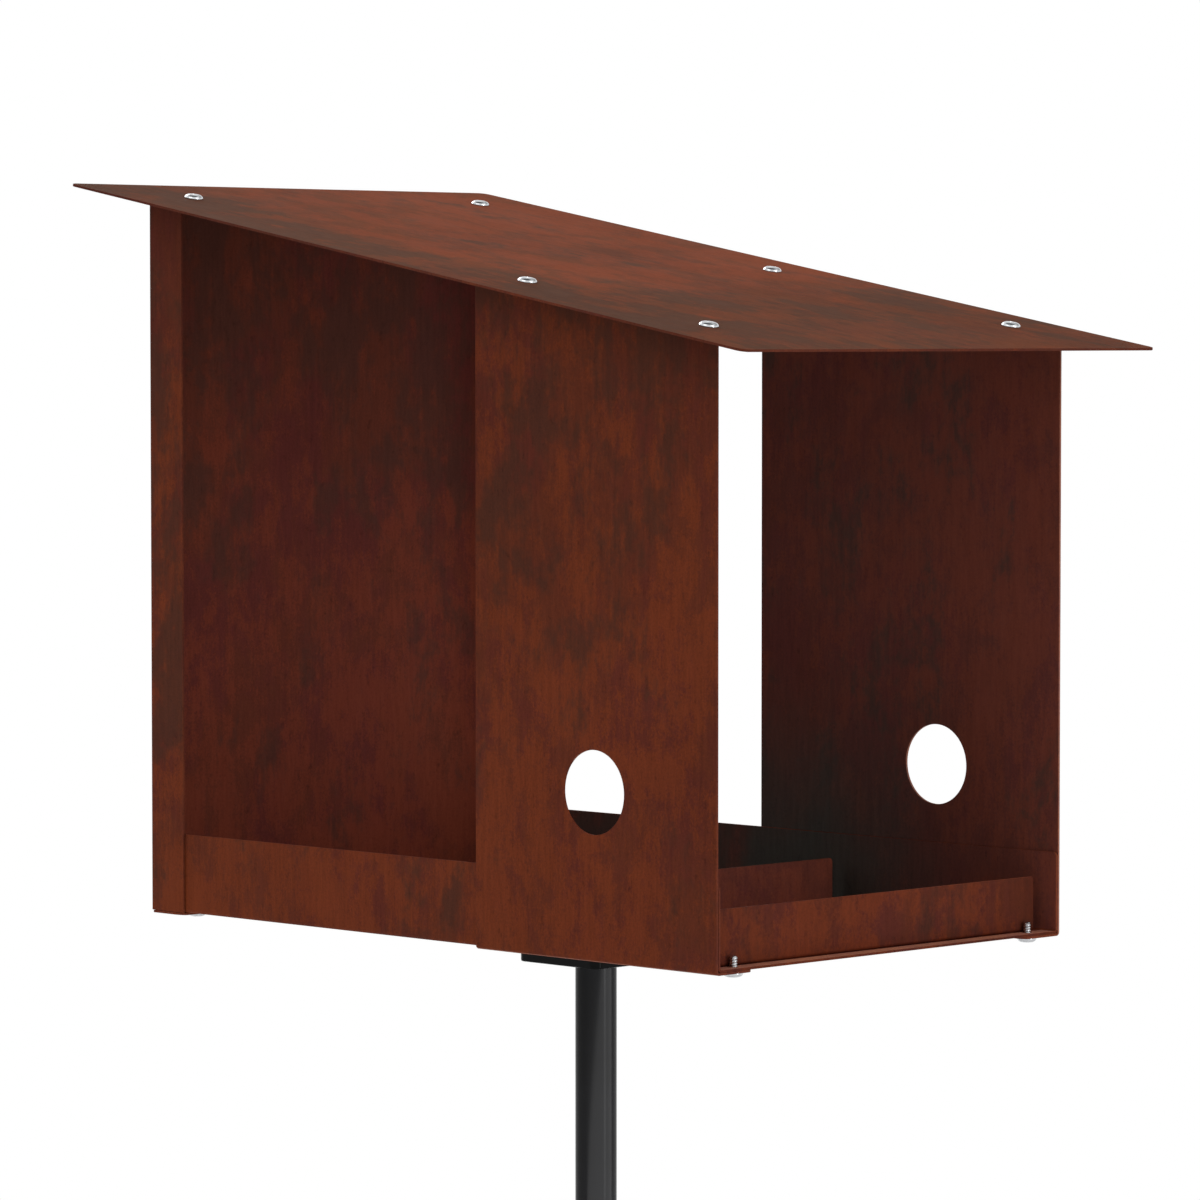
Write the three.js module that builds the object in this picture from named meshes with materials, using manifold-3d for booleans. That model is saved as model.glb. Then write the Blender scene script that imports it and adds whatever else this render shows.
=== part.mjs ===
// Pole-mounted bird house folded from weathering-steel sheet, in millimetres, +Z up.
// The origin is on the pole's axis at ground level. -Y is the open front, where the roof is low,
// +Y is the closed rear, -X is the left side and +X is the right side.
// A loose feed tray stands on the floor. Everything else is screwed or pushed together.

import * as THREE from 'three';
import { mergeVertices } from 'three/addons/utils/BufferGeometryUtils.js';
import Module from 'manifold-3d';

const wasm = await Module();
wasm.setup();

// ---- Driving dimensions -------------------------------------------------------------------

// Sheet metal and fits
const SHEET = 1.5;
const BEND_INSIDE_RADIUS = 1;
const SIDE_GAP = 0.3;
const STACK_GAP = 0.1;
const ROOF_GAP = 0.3;
const FLANGE_WIDTH = 30;
const BEND_RELIEF = 0.5;
const FOLD_OVERLAP = 12;

// House
const HOUSE_DEPTH = 500;
const REAR_WALL_HEIGHT = 455;
const REAR_CORNER_RADIUS = 10;
const FLANGE_CORNER_RADIUS = 5;

// Base tray
const BASE_WIDTH = 300;
const BASE_LIP_HEIGHT = 50;
const LIP_CORNER_RADIUS = 2.5;

// Side panels: the left one is the shorter
const LEFT_PANEL_DEPTH = 200;
const RIGHT_PANEL_DEPTH = 250;
const HOLE_DIAMETER = 50;
const HOLE_FRONT_DISTANCE = 100;
const HOLE_HEIGHT = 100;

// Roof
const ROOF_PITCH = THREE.MathUtils.degToRad(10);
const ROOF_SIDE_OVERHANG = 30.7;
const ROOF_REAR_OVERHANG = 42;
const ROOF_FRONT_OVERHANG = 50;
const ROOF_CORNER_RADIUS = 6;

// Feed tray
const FEED_TRAY_DEPTH = 168.5;
const FEED_TRAY_HEIGHT = 33.5;
const FEED_TRAY_SIDE_GAP = 9;
const FEED_TRAY_SCREW_GAP = 0.6;
const FEED_TRAY_CORNER_RADIUS = 2.5;

// Screws with a wide, low pan head, 5 mm thread
const THREAD_DIAMETER = 5;
const THREAD_CLEARANCE = 0.3;
const SHEET_SCREW_LENGTH = 10;
const BLOCK_SCREW_LENGTH = 16;
const SCREW_HEAD_DIAMETER = 11.8;
const SCREW_RIM_HEIGHT = 0.4;
const SCREW_HEAD_HEIGHT = 2.75;
const SCREW_CROWN_DIAMETER = 4.4;
const SCREW_SOCKET_ACROSS_FLATS = 3;
const SCREW_SOCKET_DEPTH = 1.6;
const SCREW_TIP_CHAMFER = 0.6;

// Where the screws sit, from the outside faces and from the ends of the panels
const BASE_SCREW_SIDE_INSET = 21.8;
const BASE_SCREW_END_INSET = 7.5;
const BASE_SCREW_REAR_INSET = 20;
const ROOF_SCREW_SIDE_INSET = 18.8;
const ROOF_SCREW_END_INSET = 25;
const ROOF_SCREW_REAR_INSET = 14;
const ROOF_SCREW_REAR_SIDE_INSET = 25.8;

// Head block that carries the house on its pole
const BLOCK_WIDTH = 70;
const BLOCK_HEIGHT = 25;
const BLOCK_CORNER_RADIUS = 6;
const BLOCK_CHAMFER = 1;
const BLOCK_SOCKET_DEPTH = 20;
const BLOCK_SCREW_SPACING = 44;
const BLOCK_SCREW_RUN_OUT = 3;

// Grub screw that holds the pole in the block, M6
const GRUB_DIAMETER = 6;
const GRUB_LENGTH = 20;
const GRUB_SOCKET_ACROSS_FLATS = 3;
const GRUB_SOCKET_DEPTH = 3;

// Pole and ground spike
const POLE_DIAMETER = 26;
const POLE_WALL = 1.5;
const POLE_FIT = 0.3;
const POLE_SECTION_LENGTH = 450;
const POLE_SECTIONS = 2;
const SPIGOT_LENGTH = 60;
const SPIGOT_ROOT = 3;
const SPIGOT_TAPER = 3;
const SPIKE_COLLAR_DIAMETER = 60;
const SPIKE_COLLAR_HEIGHT = 4;
const SPIKE_SHANK_DIAMETER = 20;
const SPIKE_DEPTH = 200;
const SPIKE_POINT_LENGTH = 60;

// Facets
const BEND_STEPS = 3;
const CORNER_STEPS = 4;
const HOLE_STEPS = 48;
const SCREW_HOLE_STEPS = 12;
const SCREW_STEPS = 16;
const POLE_STEPS = 40;
const DOME_STEPS = 3;

// How far a cutting solid runs past what it cuts
const CUT_MARGIN = 6;

// ---- Derived places -----------------------------------------------------------------------

const FRONT = -HOUSE_DEPTH / 2;
const REAR = HOUSE_DEPTH / 2;
const HALF_WIDTH = BASE_WIDTH / 2 + SIDE_GAP + SHEET;
const FLANGE_EDGE = HALF_WIDTH - SHEET - FLANGE_WIDTH;
const REAR_FLANGE_EDGE = REAR - SHEET - FLANGE_WIDTH;
const BEND_OUTSIDE_RADIUS = BEND_INSIDE_RADIUS + SHEET;
const FLOOR_UNDERSIDE = SHEET + STACK_GAP;
const FLOOR_TOP = FLOOR_UNDERSIDE + SHEET;
const BASE_REAR = REAR - BEND_OUTSIDE_RADIUS - STACK_GAP;
const SCREW_HOLE_DIAMETER = THREAD_DIAMETER + 2 * THREAD_CLEARANCE;
const POLE_BORE = POLE_DIAMETER - 2 * POLE_WALL;
const BLOCK_UNDERSIDE_Z = POLE_SECTION_LENGTH * POLE_SECTIONS;
const BLOCK_TOP = FLOOR_UNDERSIDE - STACK_GAP;
const HOUSE_Z = BLOCK_UNDERSIDE_Z + BLOCK_HEIGHT - BLOCK_TOP;

const PANELS = {
  left: { side: -1, depth: LEFT_PANEL_DEPTH },
  right: { side: 1, depth: RIGHT_PANEL_DEPTH },
};

// Height of the flanges' upper plane, which carries the roof, over a place in the house's depth.
const flangeHeight = (y) => REAR_WALL_HEIGHT - (REAR - y) * Math.tan(ROOF_PITCH);

// Distance down the slope, from the rear wall's top edge, to a place in the house's depth.
const alongSlope = (y) => (y - REAR) / Math.cos(ROOF_PITCH);

// ---- Materials ----------------------------------------------------------------------------

const weatheringSteel = new THREE.MeshStandardMaterial({ color: 0x7a3d26, roughness: 0.8, metalness: 0.1 });
const zincSteel = new THREE.MeshStandardMaterial({ color: 0xd5d7d8, roughness: 0.25, metalness: 1 });
const blackPaint = new THREE.MeshStandardMaterial({ color: 0x1b1b1c, roughness: 0.45, metalness: 0 });

// ---- Solids -------------------------------------------------------------------------------

// A closed geometry as a solid that can be cut and joined.
function toSolid(geometry) {
  const bare = geometry.clone();
  bare.deleteAttribute('normal');
  bare.deleteAttribute('uv');
  const merged = mergeVertices(bare, 1e-4);
  const corners = merged.index.array;
  const faces = [];
  for (let i = 0; i < corners.length; i += 3) {
    const [a, b, c] = [corners[i], corners[i + 1], corners[i + 2]];
    if (a !== b && b !== c && c !== a) faces.push(a, b, c);
  }
  const mesh = new wasm.Mesh({
    numProp: 3,
    vertProperties: new Float32Array(merged.attributes.position.array),
    triVerts: new Uint32Array(faces),
  });
  mesh.merge();
  return new wasm.Manifold(mesh);
}

function toGeometry(solid) {
  const mesh = solid.getMesh();
  const geometry = new THREE.BufferGeometry();
  geometry.setAttribute('position', new THREE.BufferAttribute(mesh.vertProperties, 3));
  geometry.setIndex(new THREE.BufferAttribute(mesh.triVerts, 1));
  geometry.computeVertexNormals();
  return geometry;
}

const join = (first, ...others) => others.reduce((whole, other) => whole.add(other), first);
const cut = (first, ...others) => others.reduce((whole, other) => whole.subtract(other), first);

function extruded(shape, depth, matrix) {
  const geometry = new THREE.ExtrudeGeometry(shape, {
    depth,
    bevelEnabled: false,
    curveSegments: CORNER_STEPS,
  });
  return toSolid(geometry.applyMatrix4(matrix));
}

// An outline in Y and Z, extruded along X.
function alongX(shape, low, high) {
  const matrix = new THREE.Matrix4().set(0, 0, 1, low, 1, 0, 0, 0, 0, 1, 0, 0, 0, 0, 0, 1);
  return extruded(shape, high - low, matrix);
}

// An outline in X and Z, extruded along Y, or up the slope if it is given the slope's matrix.
function alongY(shape, low, high, frame = new THREE.Matrix4()) {
  const matrix = new THREE.Matrix4().set(1, 0, 0, 0, 0, 0, -1, high, 0, 1, 0, 0, 0, 0, 0, 1);
  return extruded(shape, high - low, matrix.premultiply(frame));
}

// An outline in X and Y, extruded along Z.
function alongZ(shape, low, high) {
  return extruded(shape, high - low, new THREE.Matrix4().makeTranslation(0, 0, low));
}

// A round bar from one point to another, to cut holes with.
function bar(diameter, from, to, steps) {
  const start = new THREE.Vector3(...from);
  const end = new THREE.Vector3(...to);
  const span = end.clone().sub(start);
  const geometry = new THREE.CylinderGeometry(diameter / 2, diameter / 2, span.length(), steps);
  const turn = new THREE.Quaternion().setFromUnitVectors(new THREE.Vector3(0, 1, 0), span.normalize());
  geometry.applyQuaternion(turn);
  geometry.translate(...start.add(end).multiplyScalar(0.5).toArray());
  return toSolid(geometry);
}

// A hexagonal bar along Z, to cut sockets with.
function hexBar(acrossFlats, low, high) {
  const radius = acrossFlats / Math.sqrt(3);
  const geometry = new THREE.CylinderGeometry(radius, radius, high - low, 6);
  geometry.rotateX(Math.PI / 2);
  geometry.translate(0, 0, (low + high) / 2);
  return toSolid(geometry);
}

// The cross-section of a folded sheet, from the middle line through its thickness.
function foldedSection(middleLine) {
  const bendRadius = BEND_INSIDE_RADIUS + SHEET / 2;
  const points = middleLine.map(([u, v]) => new THREE.Vector2(u, v));
  const oneFace = [];
  const otherFace = [];
  const addPair = (place, normal) => {
    oneFace.push(place.clone().addScaledVector(normal, SHEET / 2));
    otherFace.unshift(place.clone().addScaledVector(normal, -SHEET / 2));
  };
  const direction = (i) => points[i + 1].clone().sub(points[i]).normalize();
  const leftOf = (d) => new THREE.Vector2(-d.y, d.x);
  addPair(points[0], leftOf(direction(0)));
  for (let i = 1; i < points.length - 1; i++) {
    const before = direction(i - 1);
    const after = direction(i);
    const turn = Math.atan2(before.cross(after), before.dot(after));
    const setback = bendRadius * Math.tan(Math.abs(turn) / 2);
    const towardsCentre = leftOf(before).multiplyScalar(Math.sign(turn));
    const centre = points[i].clone().addScaledVector(before, -setback);
    centre.addScaledVector(towardsCentre, bendRadius);
    for (let step = 0; step <= BEND_STEPS; step++) {
      const outward = towardsCentre.clone().negate();
      outward.rotateAround(new THREE.Vector2(), turn * step / BEND_STEPS);
      const place = centre.clone().addScaledVector(outward, bendRadius);
      addPair(place, outward.multiplyScalar(-Math.sign(turn)));
    }
  }
  addPair(points.at(-1), leftOf(direction(points.length - 2)));
  return new THREE.Shape([...oneFace, ...otherFace]);
}

// A rectangle whose four corners, in the order low-low, high-low, high-high, low-high, are rounded
// by the given radii.
function roundedRectangle(u0, v0, u1, v1, [r0, r1, r2, r3]) {
  const shape = new THREE.Shape();
  shape.moveTo(u0 + r0, v0);
  shape.lineTo(u1 - r1, v0);
  if (r1 > 0) shape.absarc(u1 - r1, v0 + r1, r1, -Math.PI / 2, 0);
  shape.lineTo(u1, v1 - r2);
  if (r2 > 0) shape.absarc(u1 - r2, v1 - r2, r2, 0, Math.PI / 2);
  shape.lineTo(u0 + r3, v1);
  if (r3 > 0) shape.absarc(u0 + r3, v1 - r3, r3, Math.PI / 2, Math.PI);
  shape.lineTo(u0, v0 + r0);
  if (r0 > 0) shape.absarc(u0 + r0, v0 + r0, r0, Math.PI, 1.5 * Math.PI);
  return shape;
}

// The turn and place of the slope: X across the roof, Y up the slope from the rear wall's top
// edge, and Z square to the roof with 0 at the flanges' upper plane.
function slopeMatrix() {
  const matrix = new THREE.Matrix4().makeRotationX(ROOF_PITCH);
  return matrix.setPosition(0, REAR, REAR_WALL_HEIGHT);
}

// ---- Screw places -------------------------------------------------------------------------

const panelRear = (panel) => FRONT + panel.depth;

// Screws that go up through the bottom flanges into the base tray.
function baseScrewPlaces() {
  const places = [];
  for (const panel of Object.values(PANELS)) {
    const x = panel.side * (HALF_WIDTH - BASE_SCREW_SIDE_INSET);
    places.push([x, FRONT + BASE_SCREW_END_INSET]);
    places.push([x, panelRear(panel) - BASE_SCREW_END_INSET]);
  }
  for (const side of [-1, 1]) {
    places.push([side * (HALF_WIDTH - BASE_SCREW_SIDE_INSET), REAR - BASE_SCREW_REAR_INSET]);
  }
  return places;
}

// Screws that go down through the roof into the top flanges, as places over the house's plan.
function roofScrewPlaces() {
  const places = [];
  for (const panel of Object.values(PANELS)) {
    const x = panel.side * (HALF_WIDTH - ROOF_SCREW_SIDE_INSET);
    places.push([x, FRONT + ROOF_SCREW_END_INSET]);
    places.push([x, panelRear(panel) - ROOF_SCREW_END_INSET]);
  }
  for (const side of [-1, 1]) {
    places.push([side * (HALF_WIDTH - ROOF_SCREW_REAR_SIDE_INSET), REAR - ROOF_SCREW_REAR_INSET]);
  }
  return places;
}

function blockScrewPlaces() {
  const reach = BLOCK_SCREW_SPACING / 2;
  return [[-reach, -reach], [reach, -reach], [reach, reach], [-reach, reach]];
}

// Bars that cut the screw holes of the base, and of the roof and its flanges.
const baseHoleBars = () => baseScrewPlaces().map(
  ([x, y]) => bar(
    SCREW_HOLE_DIAMETER, [x, y, -CUT_MARGIN], [x, y, FLOOR_TOP + CUT_MARGIN], SCREW_HOLE_STEPS));

function slopeBar(x, y) {
  const geometry = new THREE.CylinderGeometry(
    SCREW_HOLE_DIAMETER / 2, SCREW_HOLE_DIAMETER / 2, 2 * CUT_MARGIN, SCREW_HOLE_STEPS);
  geometry.rotateX(Math.PI / 2);
  geometry.translate(x, alongSlope(y), 0);
  return toSolid(geometry.applyMatrix4(slopeMatrix()));
}

const roofHoleBars = () => roofScrewPlaces().map(([x, y]) => slopeBar(x, y));

// ---- Sheet-metal pieces -------------------------------------------------------------------

// Floor with an upright lip along each side; the front and rear edges of the floor are plain.
function baseTray() {
  const side = BASE_WIDTH / 2 - SHEET / 2;
  const floor = FLOOR_UNDERSIDE + SHEET / 2;
  const top = FLOOR_UNDERSIDE + BASE_LIP_HEIGHT;
  const section = foldedSection([[-side, top], [-side, floor], [side, floor], [side, top]]);
  const r = LIP_CORNER_RADIUS;
  const sideView = roundedRectangle(FRONT, 0, BASE_REAR, top, [0, 0, r, r]);
  const sheet = alongY(section, FRONT, BASE_REAR).intersect(alongX(sideView, -BASE_WIDTH, BASE_WIDTH));
  const blockHoles = blockScrewPlaces().map(
    ([x, y]) => bar(SCREW_HOLE_DIAMETER, [x, y, 0], [x, y, FLOOR_TOP + CUT_MARGIN], SCREW_HOLE_STEPS));
  return cut(sheet, ...baseHoleBars(), ...blockHoles);
}

// Upright web with a flange folded inwards under the base and another under the roof.
function sidePanel(panel) {
  const rear = panelRear(panel);
  const web = panel.side * (HALF_WIDTH - SHEET / 2);
  const edge = panel.side * FLANGE_EDGE;
  const slopeLow = alongSlope(FRONT) - FOLD_OVERLAP;
  const slopeHigh = alongSlope(rear) + FOLD_OVERLAP;

  const lowerSection = foldedSection([[web, REAR_WALL_HEIGHT], [web, SHEET / 2], [edge, SHEET / 2]]);
  const webDrop = (BEND_OUTSIDE_RADIUS + FOLD_OVERLAP) / 2 / Math.cos(ROOF_PITCH);
  const webTop = (y) => flangeHeight(y) - webDrop;
  const sideView = new THREE.Shape([
    new THREE.Vector2(FRONT, -SHEET),
    new THREE.Vector2(rear, -SHEET),
    new THREE.Vector2(rear, webTop(rear)),
    new THREE.Vector2(FRONT, webTop(FRONT)),
  ]);
  const lower = alongY(lowerSection, FRONT, rear).intersect(alongX(sideView, -BASE_WIDTH, BASE_WIDTH));

  const upperSection = foldedSection([[web, -FOLD_OVERLAP], [web, -SHEET / 2], [edge, -SHEET / 2]]);
  const upper = alongY(upperSection, slopeLow, slopeHigh, slopeMatrix());

  // The plan rounds the flanges' two free corners.
  const r = FLANGE_CORNER_RADIUS;
  const plan = panel.side < 0
    ? roundedRectangle(-BASE_WIDTH, FRONT, -FLANGE_EDGE, rear, [0, r, r, 0])
    : roundedRectangle(FLANGE_EDGE, FRONT, BASE_WIDTH, rear, [r, 0, 0, r]);
  const inPlan = alongZ(plan, -SHEET, REAR_WALL_HEIGHT + SHEET);

  const holeY = FRONT + HOLE_FRONT_DISTANCE;
  const holeBar = bar(HOLE_DIAMETER, [web - CUT_MARGIN, holeY, HOLE_HEIGHT],
    [web + CUT_MARGIN, holeY, HOLE_HEIGHT], HOLE_STEPS);
  const sheet = join(lower, upper).intersect(inPlan);
  return cut(sheet, holeBar, ...baseHoleBars(), ...roofHoleBars());
}

// Rear wall with a return folded forwards along each side, a flange under the base that is as
// wide as the wall, and a narrower flange under the roof.
function rearWall() {
  const web = REAR - SHEET / 2;
  const side = HALF_WIDTH - SHEET / 2;
  const returnsFoot = SHEET + BEND_RELIEF;
  const returnEdge = REAR_FLANGE_EDGE;
  const planSection = foldedSection([[-side, returnEdge], [-side, web], [side, web], [side, returnEdge]]);
  const clearOfRoof = (y) => flangeHeight(y) - STACK_GAP;
  const sideView = new THREE.Shape([
    new THREE.Vector2(returnEdge, returnsFoot),
    new THREE.Vector2(REAR, returnsFoot),
    new THREE.Vector2(REAR, clearOfRoof(REAR)),
    new THREE.Vector2(returnEdge, clearOfRoof(returnEdge)),
  ]);
  const sides = alongX(sideView, -BASE_WIDTH, BASE_WIDTH);
  const wall = alongZ(planSection, 0, REAR_WALL_HEIGHT).intersect(sides);

  const bottomReach = HALF_WIDTH - BEND_OUTSIDE_RADIUS;
  const bottomLine = [[web, FOLD_OVERLAP], [web, SHEET / 2], [returnEdge, SHEET / 2]];
  const bottomSection = foldedSection(bottomLine);
  const bottomFold = alongX(bottomSection, -bottomReach, bottomReach);
  const r = REAR_CORNER_RADIUS;
  const flangePlan = roundedRectangle(
    -HALF_WIDTH, returnEdge, HALF_WIDTH, REAR - BEND_OUTSIDE_RADIUS, [r, r, 0, 0]);
  const bottomFlange = alongZ(flangePlan, 0, SHEET);

  // The roof flange leans down to the front with the roof.
  const lean = SHEET / 2 / Math.cos(ROOF_PITCH);
  const topReach = HALF_WIDTH - SHEET - BEND_OUTSIDE_RADIUS;
  const topLine = [
    [web, flangeHeight(web) - FOLD_OVERLAP],
    [web, flangeHeight(web) - lean],
    [returnEdge, flangeHeight(returnEdge) - lean],
  ];
  const topCut = new THREE.Shape([
    new THREE.Vector2(returnEdge - SHEET, 0),
    new THREE.Vector2(REAR, 0),
    new THREE.Vector2(REAR, clearOfRoof(REAR) + STACK_GAP),
    new THREE.Vector2(returnEdge - SHEET, clearOfRoof(returnEdge - SHEET) + STACK_GAP),
  ]);
  const topFold = alongX(foldedSection(topLine), -topReach, topReach);
  const topFoldInside = topFold.intersect(alongX(topCut, -BASE_WIDTH, BASE_WIDTH));
  const wallUnderFold = cutTopEdge(wall, topReach);
  const sheet = join(wallUnderFold, topFoldInside, bottomFold, bottomFlange);
  return cut(sheet, ...baseHoleBars(), ...roofHoleBars());
}

// Takes the wall's square top edge away where the roof flange's bend takes its place.
function cutTopEdge(wall, reach) {
  const below = flangeHeight(REAR) - FOLD_OVERLAP + SHEET;
  const window = roundedRectangle(-reach, below, reach, REAR_WALL_HEIGHT + SHEET, [0, 0, 0, 0]);
  return cut(wall, alongY(window, REAR - BEND_OUTSIDE_RADIUS, REAR + SHEET));
}

// Flat sheet on the slope, with its upper plane a sheet's thickness above the flanges.
function roofPanel() {
  const halfWidth = HALF_WIDTH + ROOF_SIDE_OVERHANG;
  const low = alongSlope(FRONT) - ROOF_FRONT_OVERHANG;
  const r = ROOF_CORNER_RADIUS;
  const plan = roundedRectangle(-halfWidth, low, halfWidth, ROOF_REAR_OVERHANG, [r, r, r, r]);
  const holes = roofScrewPlaces().map(([x, y]) => bar(
    SCREW_HOLE_DIAMETER, [x, alongSlope(y), -CUT_MARGIN], [x, alongSlope(y), CUT_MARGIN], SCREW_HOLE_STEPS));
  return cut(alongZ(plan, ROOF_GAP, ROOF_GAP + SHEET), ...holes);
}

// Sheet with a low wall folded up along its front and rear edges.
function feedTray() {
  const halfWidth = BASE_WIDTH / 2 - SHEET - FEED_TRAY_SIDE_GAP;
  const front = FRONT + BASE_SCREW_END_INSET + THREAD_DIAMETER / 2 + FEED_TRAY_SCREW_GAP;
  const rear = front + FEED_TRAY_DEPTH;
  const underside = FLOOR_TOP + STACK_GAP;
  const top = underside + FEED_TRAY_HEIGHT;
  const half = SHEET / 2;
  const section = foldedSection([
    [front + half, top], [front + half, underside + half],
    [rear - half, underside + half], [rear - half, top],
  ]);
  const r = FEED_TRAY_CORNER_RADIUS;
  const frontView = roundedRectangle(-halfWidth, 0, halfWidth, top, [0, 0, r, r]);
  return alongX(section, -halfWidth, halfWidth).intersect(alongY(frontView, FRONT, REAR));
}

// ---- Screws -------------------------------------------------------------------------------

// The head stands on z = 0 and the shank hangs below it.
function panHeadScrew(length) {
  const shank = THREAD_DIAMETER / 2;
  const profile = [
    [0, -length],
    [shank - SCREW_TIP_CHAMFER, -length],
    [shank, -length + SCREW_TIP_CHAMFER],
    [shank, 0],
    [SCREW_HEAD_DIAMETER / 2, 0],
    [SCREW_HEAD_DIAMETER / 2, SCREW_RIM_HEIGHT],
    ...domePoints(),
    [0, SCREW_HEAD_HEIGHT],
  ];
  const body = toSolid(revolved(profile, SCREW_STEPS));
  const socket = hexBar(
    SCREW_SOCKET_ACROSS_FLATS, SCREW_HEAD_HEIGHT - SCREW_SOCKET_DEPTH, SCREW_HEAD_HEIGHT + CUT_MARGIN);
  return toGeometry(cut(body, socket));
}

// Quarter-ellipse from the head's rim up to its flat crown.
function domePoints() {
  const points = [];
  for (let i = 1; i <= DOME_STEPS; i++) {
    const angle = Math.PI / 2 * i / DOME_STEPS;
    const spread = SCREW_HEAD_DIAMETER / 2 - SCREW_CROWN_DIAMETER / 2;
    const radius = SCREW_CROWN_DIAMETER / 2 + spread * Math.cos(angle);
    points.push([radius, SCREW_RIM_HEIGHT + (SCREW_HEAD_HEIGHT - SCREW_RIM_HEIGHT) * Math.sin(angle)]);
  }
  return points;
}

// A profile of radius and height, turned about the Z axis.
function revolved(profile, steps) {
  const geometry = new THREE.LatheGeometry(profile.map(([r, z]) => new THREE.Vector2(r, z)), steps);
  return geometry.rotateX(Math.PI / 2);
}

function grubScrew() {
  const rod = bar(GRUB_DIAMETER, [0, 0, 0], [0, 0, GRUB_LENGTH], SCREW_STEPS);
  const socket = hexBar(GRUB_SOCKET_ACROSS_FLATS, GRUB_LENGTH - GRUB_SOCKET_DEPTH, GRUB_LENGTH + CUT_MARGIN);
  return toGeometry(cut(rod, socket));
}

// ---- Head block, pole and spike -----------------------------------------------------------

// Square block under the floor. Z is 0 at its underside.
function headBlock() {
  const flat = BLOCK_WIDTH / 2 - BLOCK_CHAMFER;
  const r = BLOCK_CORNER_RADIUS - BLOCK_CHAMFER;
  const geometry = new THREE.ExtrudeGeometry(roundedRectangle(-flat, -flat, flat, flat, [r, r, r, r]), {
    depth: BLOCK_HEIGHT - 2 * BLOCK_CHAMFER,
    bevelThickness: BLOCK_CHAMFER,
    bevelSize: BLOCK_CHAMFER,
    bevelSegments: 1,
    curveSegments: CORNER_STEPS,
  });
  const block = toSolid(geometry.translate(0, 0, BLOCK_CHAMFER));
  const socket = bar(
    POLE_DIAMETER + 2 * POLE_FIT, [0, 0, -CUT_MARGIN], [0, 0, BLOCK_SOCKET_DEPTH], POLE_STEPS);
  const threadEnd = BLOCK_HEIGHT - BLOCK_SCREW_LENGTH + SHEET - BLOCK_SCREW_RUN_OUT;
  const threads = blockScrewPlaces().map(([x, y]) => bar(
    SCREW_HOLE_DIAMETER, [x, y, threadEnd], [x, y, BLOCK_HEIGHT + CUT_MARGIN], SCREW_HOLE_STEPS));
  const grubHole = bar(GRUB_DIAMETER + 2 * THREAD_CLEARANCE,
    [0, 0, BLOCK_SOCKET_DEPTH / 2], [0, BLOCK_WIDTH, BLOCK_SOCKET_DEPTH / 2], SCREW_STEPS);
  return cut(block, socket, grubHole, ...threads);
}

// Plain tube that slides over the spigot below it and stops in the block's socket.
function upperPole() {
  const low = POLE_SECTION_LENGTH;
  const high = BLOCK_UNDERSIDE_Z + BLOCK_SOCKET_DEPTH - POLE_FIT;
  const outer = POLE_DIAMETER / 2;
  const bore = POLE_BORE / 2;
  return revolved([[bore, low], [outer, low], [outer, high], [bore, high], [bore, low]], POLE_STEPS);
}

// Tube whose upper end is drawn in to a spigot.
function lowerPole() {
  const low = SPIKE_COLLAR_HEIGHT + STACK_GAP;
  const shoulder = POLE_SECTION_LENGTH - POLE_FIT;
  const outer = POLE_DIAMETER / 2;
  const bore = POLE_BORE / 2;
  const spigot = bore - POLE_FIT;
  const spigotBore = spigot - POLE_WALL;
  return revolved([
    [bore, low],
    [outer, low],
    [outer, shoulder],
    [spigot, shoulder],
    [spigot, shoulder + SPIGOT_LENGTH],
    [spigotBore, shoulder + SPIGOT_LENGTH],
    [spigotBore, shoulder - SPIGOT_ROOT],
    [bore, shoulder - SPIGOT_ROOT - SPIGOT_TAPER],
    [bore, low],
  ], POLE_STEPS);
}

// Solid spike: a plug in the pole, a collar that stands on the soil, a shank and a point.
function groundSpike() {
  const plug = POLE_BORE / 2 - POLE_FIT;
  const shank = SPIKE_SHANK_DIAMETER / 2;
  const collar = SPIKE_COLLAR_DIAMETER / 2;
  return revolved([
    [0, -SPIKE_DEPTH],
    [shank, -SPIKE_DEPTH + SPIKE_POINT_LENGTH],
    [shank, 0],
    [collar, 0],
    [collar, SPIKE_COLLAR_HEIGHT],
    [plug, SPIKE_COLLAR_HEIGHT],
    [plug, SPIKE_COLLAR_HEIGHT + SPIGOT_LENGTH],
    [0, SPIKE_COLLAR_HEIGHT + SPIGOT_LENGTH],
  ], POLE_STEPS);
}

// ---- Assembly -----------------------------------------------------------------------------

function piece(name, shape, material) {
  const geometry = shape.isBufferGeometry ? shape : toGeometry(shape);
  const mesh = new THREE.Mesh(geometry, material);
  mesh.name = name;
  return mesh;
}

const birdHouse = new THREE.Group();

const house = new THREE.Group();
house.position.z = HOUSE_Z;
birdHouse.add(house);
house.add(piece('base_tray', baseTray(), weatheringSteel));
house.add(piece('rear_wall', rearWall(), weatheringSteel));
house.add(piece('left_panel', sidePanel(PANELS.left), weatheringSteel));
house.add(piece('right_panel', sidePanel(PANELS.right), weatheringSteel));
house.add(piece('feed_tray', feedTray(), weatheringSteel));

const slope = new THREE.Group();
slope.position.set(0, REAR, REAR_WALL_HEIGHT);
slope.rotation.x = ROOF_PITCH;
house.add(slope);
slope.add(piece('roof', roofPanel(), weatheringSteel));
roofScrewPlaces().forEach(([x, y], i) => {
  const screw = piece(`roof_screw_${i + 1}`, panHeadScrew(SHEET_SCREW_LENGTH), zincSteel);
  screw.position.set(x, alongSlope(y), ROOF_GAP + SHEET + STACK_GAP);
  slope.add(screw);
});

baseScrewPlaces().forEach(([x, y], i) => {
  const screw = piece(`base_screw_${i + 1}`, panHeadScrew(SHEET_SCREW_LENGTH), zincSteel);
  screw.rotation.x = Math.PI;
  screw.position.set(x, y, -STACK_GAP);
  house.add(screw);
});

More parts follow.
